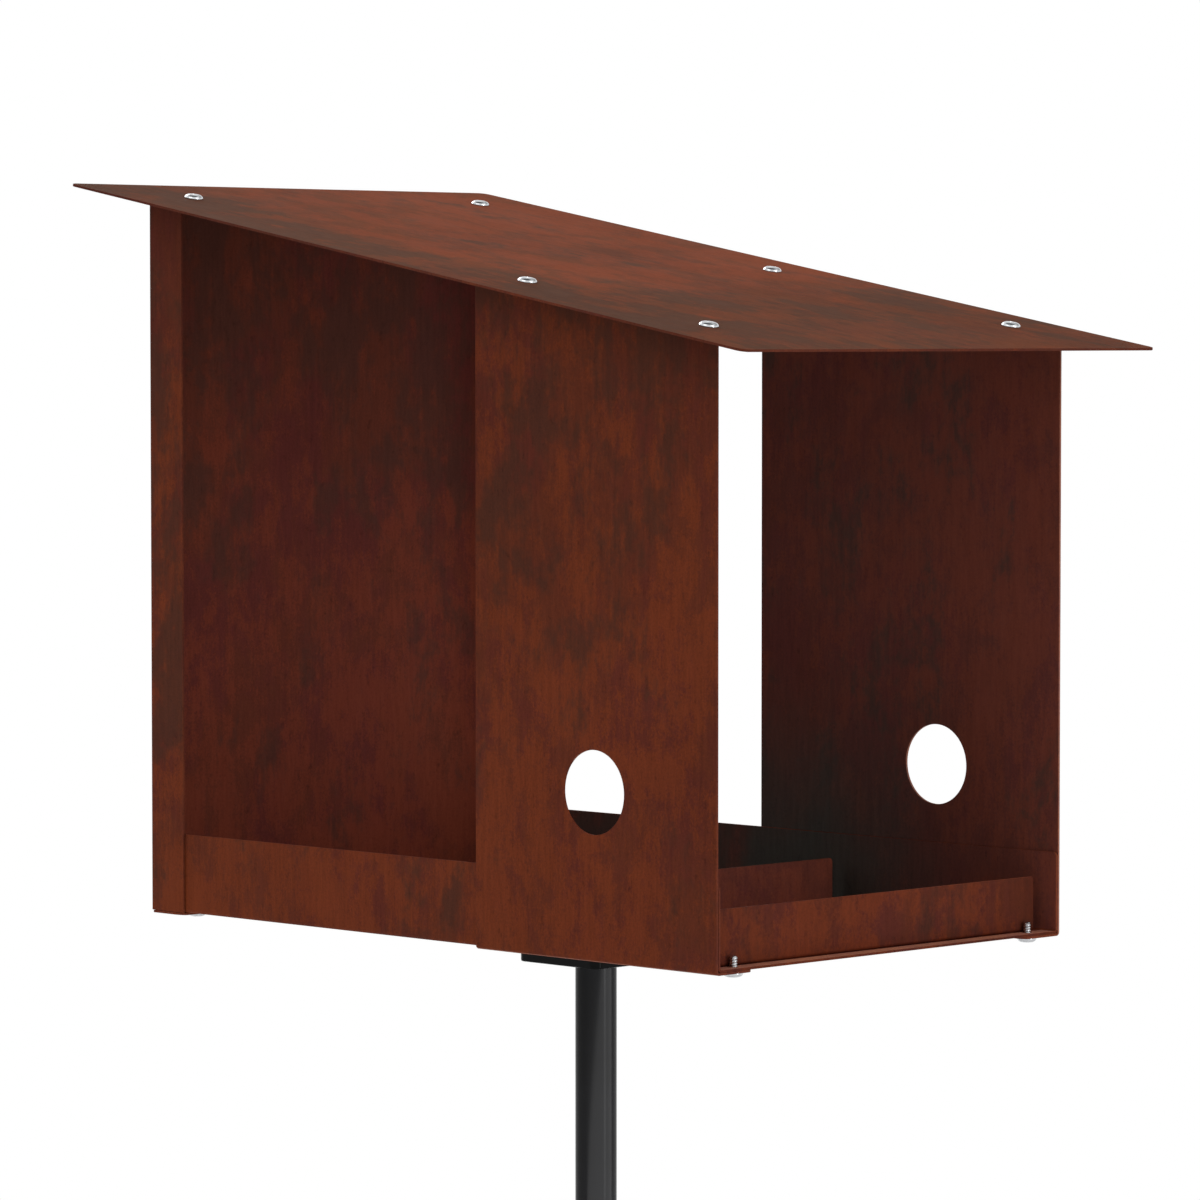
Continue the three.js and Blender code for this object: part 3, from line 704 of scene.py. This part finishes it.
def screws_within(names, low, high):
    """The screws among these whose middle lies in a box seen from above."""
    found = []
    for name in names:
        middle = middle_of(name)
        if low.x < middle.x < high.x and low.y < middle.y < high.y:
            found.append(name)
    return found


def flange_holes(low, high):
    """The holes in the top and bottom flanges of a wall that fills a box."""
    return screw_holes(screws_within(base_screws, low, high), up) + screw_holes(
        screws_within(roof_screws, low, high), down_through_roof)


def make_sheet(part, holes, finish):
    """Gives a folded blank its thickness, its holes and its slightly rounded edges."""
    edit(part)
    weld()
    face_outwards()
    leave_edit()
    part.data.materials.append(finish)
    # Cut and rounded edges take a lighter rust: rust of the cut and a painted highlight.
    part.data.materials.append(edge_rust_and_highlight)
    apply_modifier(
        part, "SOLIDIFY", thickness=SHEET, offset=0, use_even_offset=True, material_offset_rim=1)
    for hole in holes:
        drill(part, *hole)
    round_edges(part, EDGE_ROUND, sharper_than=45, material=1)
    smooth(part, SHEET_SMOOTH_ANGLE)
    keep_faces_flat(part)


def paint_fold_glint(part, outer):
    """Paints a light glint along a side panel's lower fold, on its underside: a painted reflection of
    the pale floor.
    """
    least, most = FOLD_GLINT
    refinish(part, rim_wear_and_glint, lambda face: least < -face.normal.z < most
             and min(abs(corner.co.x) for corner in face.verts) > outer - BEND_RADIUS)


def rub_and_highlight_entry(part, entry, front, inner_face):
    """Lightens an entry hole's rim and its panel's front edge: wear from birds and hands, and a painted
    highlight.
    """
    rim = ENTRY_HOLE / 2 + 2 * EDGE_ROUND

    def on_rim(face):
        return max((corner.co - entry).length for corner in face.verts) < rim

    def on_front_edge(face):
        return (max(corner.co.y for corner in face.verts) < front + EDGE_ROUND
                and min(abs(corner.co.x) for corner in face.verts) > inner_face - NEAR)

    refinish(part, rim_wear_and_glint, on_rim)
    refinish(part, rim_wear_and_glint, on_front_edge)


def make_side_panel(name, low, high):
    """Web with a flange folded inwards under the base and another under the roof."""
    side = 1 if low.x > 0 else -1
    outer, flange_edge = (high.x, low.x) if side > 0 else (low.x, high.x)
    web = outer - side * SHEET / 2
    foot = low.z + SHEET / 2
    rear_top = flange_plane(high.y) - SHEET / 2 / math.cos(ROOF_PITCH)
    front_drop = (high.y - low.y) * math.tan(ROOF_PITCH)
    centre = (web, (low.y + high.y) / 2, (foot + rear_top) / 2)
    part = flat_blank(name, centre, rear_top - foot, high.y - low.y, (0, math.pi / 2, 0))
    edit(part)
    move_corners(part, (0, 0, -front_drop), lambda corner: lies_at(corner, y=low.y, z=rear_top))
    inwards = (flange_edge - web, 0, 0)
    fold_out(part, inwards, lambda edge: lies_at(edge, x=web, z=foot))
    fold_out(part, inwards, lambda edge: lies_at(edge, x=web)
             and min(corner.co.z for corner in edge.verts) > rear_top - front_drop - NEAR)
    bend(part, lambda edge: lies_at(edge, x=web))
    round_corners(part, FLANGE_CORNER, lambda corner: lies_at(corner, x=flange_edge))
    leave_edit()
    entry = Vector((web, low.y + ENTRY_HOLE_FROM_FRONT, low.z + ENTRY_HOLE_HEIGHT))
    entry_hole = (entry, (1, 0, 0), ENTRY_HOLE, ENTRY_HOLE_SIDES)
    make_sheet(part, [entry_hole] + flange_holes(low, high), outer_steel)
    inner_face = web - side * SHEET / 2
    # The inner face takes the lighter, greyer copy: painted light.
    refinish(part, inner_face_painted_light_steel, lambda face: lies_at(face, x=inner_face))
    paint_fold_glint(part, abs(outer))
    if side > 0:
        rub_and_highlight_entry(part, entry, low.y, abs(inner_face))
    return part


def cut_relief_slits(part, web, reach, lower, upper):
    """Slits in the rear wall's corners, beside its returns, so that its top and bottom can fold."""
    for cut_x in (-reach - RELIEF_SLIT, -reach, reach, reach + RELIEF_SLIT):
        divide(part, (cut_x, 0, 0), (1, 0, 0), lambda face: lies_at(face, y=web))

    def in_slit(face):
        middle = face.calc_center_median()
        return lies_at(face, y=web) and reach < abs(middle.x) < reach + RELIEF_SLIT

    for cut_z in (lower, upper):
        divide(part, (0, 0, cut_z), up, in_slit)
    choose(part, "faces", lambda face: in_slit(face) and not (
        lower < face.calc_center_median().z < upper))
    bpy.ops.mesh.delete(type="FACE")


def widen_bottom_flange(part, foot, front, fold, reach, outer):
    """Makes the rear wall's bottom flange as wide as the wall, in front of its fold."""
    divide(part, (0, fold, 0), (0, 1, 0), lambda face: lies_at(face, z=foot))
    for side in (-1, 1):
        fold_out(part, (side * (outer - reach), 0, 0), lambda edge: lies_at(edge, x=side * reach, z=foot)
                 and max(corner.co.y for corner in edge.verts) < fold + NEAR)
        choose(part, "edges", lambda edge: (
            not edge.is_boundary and lies_at(edge, x=side * reach, z=foot)))
        bpy.ops.mesh.dissolve_edges(use_verts=False)
    round_corners(part, REAR_FLANGE_CORNER, lambda corner: lies_at(corner, y=front, z=foot)
                  and abs(abs(corner.co.x) - outer) < NEAR, LARGE_CORNER_STEPS)


def make_rear_wall(name, low, high):
    """Web with a return along each side, a full-width flange below and one under the roof."""
    web = high.y - SHEET / 2
    half = high.x - SHEET / 2
    foot = low.z + SHEET / 2
    returns_foot = low.z + REAR_FOOT
    top = flange_plane(web) - SHEET / 2 / math.cos(ROOF_PITCH)
    reach = high.x - REAR_FOLD_SETBACK
    forwards = low.y - web
    drop = forwards * math.tan(ROOF_PITCH)

    def between(edge):
        return all(abs(corner.co.x) < reach + NEAR for corner in edge.verts)

    part = flat_blank(
        name, (0, web, (returns_foot + top) / 2), 2 * half, top - returns_foot, LYING)
    edit(part)
    fold_out(part, (0, forwards, 0), lambda edge: lies_at(edge, x=half) or lies_at(edge, x=-half))
    move_corners(part, (0, 0, drop), lambda corner: lies_at(corner, y=low.y, z=top))
    cut_relief_slits(part, web, reach, foot + RELIEF_DEPTH, top - RELIEF_DEPTH)
    fold_out(part, (0, 0, foot - returns_foot), lambda edge: (
        lies_at(edge, y=web, z=returns_foot) and between(edge)))
    choose(part, "edges", lambda edge: lies_at(edge, y=web, z=returns_foot) and between(edge))
    bpy.ops.mesh.dissolve_edges(use_verts=True)
    fold_out(part, (0, forwards, 0), lambda edge: lies_at(edge, y=web, z=foot))
    fold_out(part, (0, forwards, drop), lambda edge: lies_at(edge, y=web, z=top) and between(edge))
    bend(part, lambda edge: lies_at(edge, x=half, y=web) or lies_at(edge, x=-half, y=web))
    bend(part, lambda edge: lies_at(edge, y=web, z=foot))
    bend(part, lambda edge: lies_at(edge, y=web, z=top) and between(edge),
         BEND_RADIUS * math.tan((math.pi / 2 + ROOF_PITCH) / 2))
    widen_bottom_flange(part, foot, low.y, web - BEND_RADIUS - 4 * NEAR, reach, high.x)
    leave_edit()
    make_sheet(part, flange_holes(low, high), outer_steel)
    # The inner face takes the lighter copy: painted light.
    refinish(part, rear_wall_painted_light_steel, lambda face: lies_at(face, y=web - SHEET / 2))
    return part


def make_base_tray(name, low, high):
    """Floor with an upright lip along each side."""
    floor = low.z + SHEET / 2
    side = high.x - SHEET / 2
    part = flat_blank(name, (0, (low.y + high.y) / 2, floor), 2 * side, high.y - low.y)
    edit(part)
    for wall in (-side, side):
        fold_out(part, (0, 0, high.z - floor), lambda edge: lies_at(edge, x=wall))
    for wall in (-side, side):
        bend(part, lambda edge: lies_at(edge, x=wall, z=floor))
    round_corners(part, LIP_CORNER, lambda corner: lies_at(corner, z=high.z))
    divide(part, (0, tray_low.y, 0), (0, 1, 0), lambda face: lies_at(face, z=floor))
    leave_edit()
    make_sheet(part, screw_holes(base_screws + block_screws, up), outer_steel)
    floor_top = floor + SHEET / 2
    # The floor's top and the lips' inner faces take the lighter inside copies: painted light.
    refinish(part, rear_wall_painted_light_steel, lambda face: lies_at(face, z=floor_top))
    for wall in (-side, side):
        inner_face = wall - math.copysign(SHEET / 2, wall)
        refinish(part, inner_face_painted_light_steel, lambda face: lies_at(face, x=inner_face))
    # The strip of floor that the feed tray leaves open is much lighter: painted light and sheen.
    refinish(part, floor_strip_painted_light_steel, lambda face: lies_at(face, z=floor_top)
             and max(corner.co.y for corner in face.verts) < tray_low.y + NEAR)
    # The base's front edge takes the feed tray's darker rust: painted shade.
    refinish(part, tray_steel, lambda face: lies_at(face, y=low.y)
             and max(corner.co.z for corner in face.verts) < floor + SHEET)
    return part


def make_feed_tray(name, low, high):
    """Sheet with a low wall folded up along its front and rear edges."""
    floor = low.z + SHEET / 2
    front, rear = low.y + SHEET / 2, high.y - SHEET / 2
    part = flat_blank(name, (0, (front + rear) / 2, floor), high.x - low.x, rear - front)
    edit(part)
    for wall in (front, rear):
        fold_out(part, (0, 0, high.z - floor), lambda edge: lies_at(edge, y=wall))
    for wall in (front, rear):
        bend(part, lambda edge: lies_at(edge, y=wall, z=floor))
    round_corners(part, TRAY_CORNER, lambda corner: lies_at(corner, z=high.z))
    leave_edit()
    make_sheet(part, [], tray_steel)
    # The rear wall's inner face takes the much lighter copy: painted light.
    refinish(part, tray_rear_painted_light_steel, lambda face: lies_at(face, y=rear - SHEET / 2))
    return part


def make_roof(name, low, high):
    """Flat sheet on the slope."""
    rear_edge = (high.y - rear_face + ROOF_GAP * math.sin(ROOF_PITCH)) / math.cos(ROOF_PITCH)
    front_edge = (
        low.y - rear_face + (ROOF_GAP + SHEET) * math.sin(ROOF_PITCH)) / math.cos(ROOF_PITCH)
    centre = slope @ Vector((0, (front_edge + rear_edge) / 2, ROOF_GAP + SHEET / 2))
    part = flat_blank(name, centre, high.x - low.x, rear_edge - front_edge, (ROOF_PITCH, 0, 0))
    edit(part)
    round_corners(part, ROOF_CORNER, lambda corner: True)
    leave_edit()
    make_sheet(part, screw_holes(roof_screws, down_through_roof), roof_painted_sheen_steel)
    return part


# ---- Screws ----


def make_thread(name, diameter, core, pitch, length, taper):
    """A rod with a real screw thread, from just above z = 0 down to its tapered tip."""
    root = core / 2
    depth = (diameter - core) / 2
    middle = -length - pitch
    pick()
    bpy.ops.mesh.primitive_plane_add(size=pitch, location=(root + pitch / 2, 0, middle), rotation=LYING)
    part = take(name)
    edit(part)
    # One turn's profile: an upright edge whose middle goes out as the crest, with a flank on each side.
    choose(part, "verts", lambda corner: corner.co.x > root + pitch / 2)
    bpy.ops.mesh.delete(type="VERT")
    choose_all()
    bpy.ops.mesh.subdivide(number_cuts=THREAD_CUTS)
    move_corners(part, (depth, 0, 0), lambda corner: abs(corner.co.z - middle) < pitch / 8)
    move_corners(part, (depth / 2, 0, 0), lambda corner: (
        pitch / 4 < abs(corner.co.z - middle) < pitch * 3 / 8))
    leave_edit()
    apply_modifier(
        part, "SCREW", axis="Z", angle=2 * math.pi, screw_offset=pitch,
        iterations=math.ceil(length / pitch) + 3, steps=THREAD_STEPS, render_steps=THREAD_STEPS,
        use_normal_calculate=True)
    edit(part)
    weld()
    cut_off(SCREW_RIM, above=True)
    cut_off(-length, above=False)
    face_outwards()
    leave_edit()
    # A pointed bar, wider than the thread above its taper, trims the tip.
    wide = diameter * 0.6
    tip = turned("tip", [
        (root / 2, middle), (root / 2, -length), (root, -length + taper / 3),
        (wide, -length + taper + wide - diameter / 2), (wide, 2 * SCREW_RIM)], SCREW_SIDES)
    combine(part, tip, "INTERSECT")
    return part


def make_pan_screw(name, length):
    """Screw with a wide, low dome and a hexagon socket. The head stands on z = 0."""
    head_radius = SCREW_HEAD / 2
    profile = [
        (SCREW_CORE / 4, 0), (head_radius - SCREW_RIM / 3, 0),
        (head_radius, SCREW_RIM / 3), (head_radius, SCREW_RIM)]
    for step in range(1, DOME_STEPS + 1):
        angle = math.pi / 2 * step / DOME_STEPS
        profile.append((
            SCREW_CROWN / 2 + (SCREW_HEAD - SCREW_CROWN) / 2 * math.cos(angle),
            SCREW_RIM + (SCREW_HEAD_HEIGHT - SCREW_RIM) * math.sin(angle)))
    part = turned(name, profile, SCREW_SIDES)
    part.data.materials.append(zinc_plating)
    socket = hex_bar(
        "socket", SCREW_SOCKET, SCREW_HEAD_HEIGHT - SCREW_SOCKET_DEPTH, 2 * SCREW_HEAD_HEIGHT)
    combine(part, socket, "DIFFERENCE")
    round_edges(part, SCREW_EDGE_ROUND, sharper_than=50)
    thread = make_thread("thread", SCREW_THREAD, SCREW_CORE, SCREW_PITCH, length, SCREW_TAPER)
    combine(part, thread, "UNION")
    smooth(part)
    return part


def make_grub_screw(name, length):
    """Headless screw with a hexagon socket in its end at z = 0."""
    part = make_thread(name, GRUB_THREAD, GRUB_CORE, GRUB_PITCH, length, GRUB_TAPER)
    edit(part)
    cut_off(0, above=True)
    leave_edit()
    combine(part, hex_bar("socket", GRUB_SOCKET, -GRUB_SOCKET_DEPTH, GRUB_SOCKET_DEPTH), "DIFFERENCE")
    part.data.materials.append(zinc_plating)
    smooth(part)
    return part


# ---- Head block and pole ----


def coat_black(part, width, sharper_than, clamp=False):
    """Rounds a bare part's edges and coats it."""
    round_edges(part, width, sharper_than, clamp)
    part.data.materials.append(black_coat)
    smooth(part)
    keep_faces_flat(part)
    return part


def make_head_block(name, low, high):
    """Square block with rounded corners, a socket for the pole, screw holes and a grub screw's hole."""
    pick()
    bpy.ops.mesh.primitive_cube_add(size=1, location=(low + high) / 2)
    bpy.context.active_object.scale = high - low
    part = take(name)
    edit(part)
    choose(part, "edges", lambda edge: abs(edge.verts[0].co.z - edge.verts[1].co.z) > NEAR)
    bpy.ops.mesh.bevel(offset=BLOCK_CORNER, segments=CORNER_STEPS, affect="EDGES")
    choose(part, "edges", lambda edge: lies_at(edge, z=low.z) or lies_at(edge, z=high.z))
    bpy.ops.mesh.bevel(offset=BLOCK_CHAMFER, segments=2, affect="EDGES")
    leave_edit()
    pole_hole = 2 * (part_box("upper_pole")[1].x + POLE_FIT)
    drill(part, (0, 0, low.z), up, pole_hole, POLE_SIDES, 2 * BLOCK_SOCKET_DEPTH)
    for screw in block_screws:
        middle = middle_of(screw)
        depth = high.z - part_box(screw)[0].z + SHEET
        drill(part, (middle.x, middle.y, high.z), up, SCREW_HOLE, length=2 * depth)
    grub_hole = GRUB_THREAD + 2 * POLE_FIT
    drill(part, (0, high.y, middle_of("pole_grub_screw").z), (0, 1, 0), grub_hole, length=2 * high.y)
    return coat_black(part, BLOCK_EDGE_ROUND, sharper_than=50, clamp=True)


def make_tube(name, profile):
    return coat_black(turned(name, profile, POLE_SIDES), POLE_EDGE_ROUND, sharper_than=40)


def make_upper_pole(name, low, high):
    outer = high.x
    bore = outer - POLE_WALL
    return make_tube(name, [
        (bore, low.z), (outer, low.z), (outer, high.z), (bore, high.z), (bore, low.z)])


def make_lower_pole(name, low, high):
    """Tube whose upper end is drawn in to a spigot, which reaches into the upper pole."""
    outer = high.x
    bore = outer - POLE_WALL
    spigot = bore - POLE_FIT
    spigot_bore = spigot - POLE_WALL
    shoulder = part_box("upper_pole")[0].z - POLE_FIT
    return make_tube(name, [
        (bore, low.z), (outer, low.z), (outer, shoulder), (spigot, shoulder), (spigot, high.z),
        (spigot_bore, high.z), (spigot_bore, shoulder - SPIGOT_ROOT),
        (bore, shoulder - 2 * SPIGOT_ROOT), (bore, low.z)])


def make_ground_spike(name, low, high):
    """Plug for the pole, a collar that stands on the soil, a shank and a point."""
    collar = high.x
    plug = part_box("upper_pole")[1].x - POLE_WALL - POLE_FIT
    return make_tube(name, [
        (SPIKE_TIP, low.z), (SPIKE_SHANK, low.z + SPIKE_POINT), (SPIKE_SHANK, 0), (collar, 0),
        (collar, SPIKE_COLLAR_HEIGHT), (plug, SPIKE_COLLAR_HEIGHT), (plug, high.z)])


# ---- The bird house ----


def build(make, name, node, body="house"):
    """Makes a piece in the box of its CAD node."""
    fit(make(name, *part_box(node)), body, node)


def shank_length(screw):
    low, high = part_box(screw)
    return high.z - low.z - SCREW_HEAD_HEIGHT


def drive(pattern, name, seat, turn):
    """Puts a screw in its seat, stopped at a turn about its own axis."""
    part = place_copy(pattern, "zinc_" + name, seat @ Matrix.Rotation(turn, 4, "Z"))
    fit(part, "house", name)


build(make_roof, "roof_sheet", "roof")
build(make_side_panel, "left_side_sheet", "left_panel")
build(make_side_panel, "right_side_sheet", "right_panel")
build(make_rear_wall, "rear_wall_sheet", "rear_wall")
build(make_base_tray, "base_sheet", "base_tray")
build(make_feed_tray, "feed_tray_sheet", "feed_tray", body="tray")

short_screw = make_pan_screw("short_screw", shank_length("base_screw_1"))
for name in base_screws:
    middle = middle_of(name)
    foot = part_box(name)[0].z + SCREW_HEAD_HEIGHT
    seat = Matrix.Translation((middle.x, middle.y, foot)) @ Matrix.Rotation(math.pi, 4, "X")
    drive(short_screw, name, seat, middle.x * TURN_ACROSS)
for name in roof_screws:
    middle = middle_of(name)
    seat_y = middle.y + SCREW_RIM * math.sin(ROOF_PITCH)
    seat_height = ROOF_GAP + SHEET + SCREW_SEAT_GAP
    along = (seat_y - rear_face + seat_height * math.sin(ROOF_PITCH)) / math.cos(ROOF_PITCH)
    seat = slope @ Matrix.Translation((middle.x, along, seat_height))
    drive(short_screw, name, seat, middle.x * TURN_ACROSS + middle.y * TURN_ALONG)
bpy.data.objects.remove(short_screw)

long_screw = make_pan_screw("long_screw", shank_length("block_screw_1"))
for name in block_screws:
    middle = middle_of(name)
    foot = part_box(name)[1].z - SCREW_HEAD_HEIGHT
    drive(long_screw, name, Matrix.Translation((middle.x, middle.y, foot)), middle.x * BLOCK_TURN_ACROSS)
bpy.data.objects.remove(long_screw)

build(make_head_block, "black_head_block", "head_block")
build(make_upper_pole, "upper_tube", "upper_pole")
build(make_lower_pole, "lower_tube", "lower_pole")
build(make_ground_spike, "spike", "ground_spike")

grub_low, grub_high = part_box("pole_grub_screw")
grub = make_grub_screw("grub", grub_high.y - grub_low.y)
seat = Matrix.Translation((0, grub_high.y, (grub_low.z + grub_high.z) / 2))
seat = seat @ Matrix.Rotation(-math.pi / 2, 4, "X")
zinc_grub_screw = place_copy(grub, "zinc_grub_screw", seat)
fit(zinc_grub_screw, "house", "pole_grub_screw")
bpy.data.objects.remove(grub)

# ---- Floor, light and camera ----

FLOOR_SIZE = 60
FLOOR_SHADOWED = 0.9           # distance from the pole up to which the floor takes full shadow
FLOOR_WHITE = 3.2              # and from which it is plain white

SKY_LIGHT = 0.62               # on matt surfaces
# What shines sees a sky with a dim ceiling and, high up on the right, a shaded side. Where they
# begin and where they are full is given as the part of a direction of length 1 along Z or X.
CEILING_EDGE = 0.77
CEILING_CORE = 0.95
CEILING_LIGHT = 0.1
SHADE_EDGE = 0.45
SHADE_CORE = 0.8
SHADE_FOOT = 0.35
SHADE_TOP = 0.6
SHADE_LIGHT = 0.4


def seen_rays(tree, rays, x, y):
    """1 for the rays of the camera, of mirror images and through glass, and 0 for the others."""
    seen = maths(tree, "MAXIMUM", rays["Is Camera Ray"], rays["Is Glossy Ray"], (x, y))
    return maths(tree, "MAXIMUM", seen, rays["Is Transmission Ray"], (x + 150, y))


def make_floor_material():
    """Pale floor that takes the object's shadow near it and runs out to white further away.
    It can't be seen from below."""
    material, tree, surface = new_material("studio_floor")
    tree.nodes.remove(surface)
    place = add(tree, "ShaderNodeTexCoord", (-900, 0))
    distance = add(tree, "ShaderNodeVectorMath", (-700, 0), operation="LENGTH")
    tree.links.new(place.outputs["Object"], distance.inputs[0])
    far = limits(tree, distance.outputs["Value"], FLOOR_SHADOWED, FLOOR_WHITE, place=(-500, 0))
    seen = seen_rays(tree, add(tree, "ShaderNodeLightPath", (-900, 400)).outputs, -600, 400)
    share = maths(tree, "MULTIPLY", seen, far, (-250, 200))
    pale = add(tree, "ShaderNodeBsdfDiffuse", (-250, 0))
    pale.inputs["Color"].default_value = (0.9, 0.9, 0.9, 1)
    white = add(tree, "ShaderNodeEmission", (-250, -150))
    under = add(tree, "ShaderNodeBsdfTransparent", (0, -150))
    facing = add(tree, "ShaderNodeNewGeometry", (0, 300))
    top = mix_shaders(tree, share, pale, white, (0, 0))
    whole = mix_shaders(tree, facing.outputs["Backfacing"], top, under, (250, 0))
    tree.links.new(whole.outputs[0], tree.nodes["Material Output"].inputs["Surface"])
    return material


def make_sky():
    """White to the camera, soft light on matt surfaces, and a shaded sky to what shines."""
    world = bpy.data.worlds.new("studio")
    bpy.context.scene.world = world
    world.use_nodes = True
    tree = world.node_tree
    rays = add(tree, "ShaderNodeLightPath", (-600, 300)).outputs
    seen = seen_rays(tree, rays, -400, 300)
    soft = tree.nodes["Background"]
    soft.inputs["Color"].default_value = (1, 1, 1, 1)
    soft.inputs["Strength"].default_value = SKY_LIGHT
    backdrop = add(tree, "ShaderNodeBackground", (-250, 0))
    backdrop.inputs["Color"].default_value = (1, 1, 1, 1)
    way = axes(tree, add(tree, "ShaderNodeTexCoord", (-1100, -100)).outputs["Generated"])
    ceiling = limits(tree, way["Z"], CEILING_EDGE, CEILING_CORE, 1, CEILING_LIGHT, (-550, -100))
    side = limits(tree, way["X"], SHADE_EDGE, SHADE_CORE, 1, SHADE_LIGHT, (-700, -250))
    low_sky = limits(tree, way["Z"], SHADE_FOOT, SHADE_TOP, 1, 0, (-700, -450))
    shade = maths(tree, "MAXIMUM", side, low_sky, (-550, -300))
    mirrored = maths(tree, "MULTIPLY", ceiling, shade, (-400, -250))
    strength = maths(tree, "MAXIMUM", rays["Is Camera Ray"], mirrored, (-400, -50))
    tree.links.new(strength, backdrop.inputs["Strength"])
    sky = mix_shaders(tree, seen, soft, backdrop, (0, 100))
    tree.links.new(sky.outputs[0], tree.nodes["World Output"].inputs["Surface"])


def add_softbox(name, location, aim, width, height, power, roll=0, lit_pieces=()):
    """A soft lamp. Where pieces are named, it lights those alone."""
    data = bpy.data.lights.new(name, "AREA")
    data.shape = "RECTANGLE"
    data.size = width
    data.size_y = height
    data.energy = power
    lamp = bpy.data.objects.new(name, data)
    bpy.context.scene.collection.objects.link(lamp)
    lamp.location = location
    facing = (Vector(aim) - Vector(location)).to_track_quat("-Z", "Y")
    lamp.rotation_euler = (facing @ Quaternion((0, 0, 1), roll)).to_euler()
    lamp.visible_camera = False
    if lit_pieces:
        lit = bpy.data.collections.new(name + "_pieces")
        for piece in lit_pieces:
            lit.objects.link(bpy.data.objects[piece])
        lamp.light_linking.receiver_collection = lit


def add_camera(location, tilt, turn, lens):
    """A camera tilted down from level and turned about Z, in degrees."""
    data = bpy.data.cameras.new("camera")
    data.sensor_width = 36
    data.lens = lens
    data.clip_start = 0.1
    data.clip_end = 200
    camera = bpy.data.objects.new("camera", data)
    bpy.context.scene.collection.objects.link(camera)
    camera.location = location
    camera.rotation_euler = (math.radians(90 - tilt), 0, math.radians(turn))
    bpy.context.scene.camera = camera


pick()
bpy.ops.mesh.primitive_plane_add(size=FLOOR_SIZE, location=(0, 0, 0))
floor = take("studio_floor")
floor.data.materials.append(make_floor_material())
make_sky()

house_middle = (0, 0, 1.15)
add_softbox("front_softbox", (0, -3.6, 3), house_middle, 2.2, 2.2, 24)
add_softbox("left_softbox", (-3, -0.2, 3.4), house_middle, 2.2, 2.2, 16)
add_softbox("rear_softbox", (0.6, 3.4, 2.8), house_middle, 2.2, 2.2, 60)
add_softbox("low_softbox", (0.3, -3.4, 1), (0, 0, 1), 0.5, 1.7, 16)
# It stands close to the pole and is rolled, so that its glint on the pole slants.
add_softbox(
    "pole_softbox", (-0.005, -0.381, 0.263), (0.137, -0.061, 0.263), 2.3, 1.2, 44,
    roll=math.radians(14.5), lit_pieces=("upper_tube", "lower_tube"))

add_camera((-2.44268, -2.44703, 1.29446), tilt=2.787, turn=-44.99, lens=166.466)
bpy.context.scene.view_settings.view_transform = "Standard"
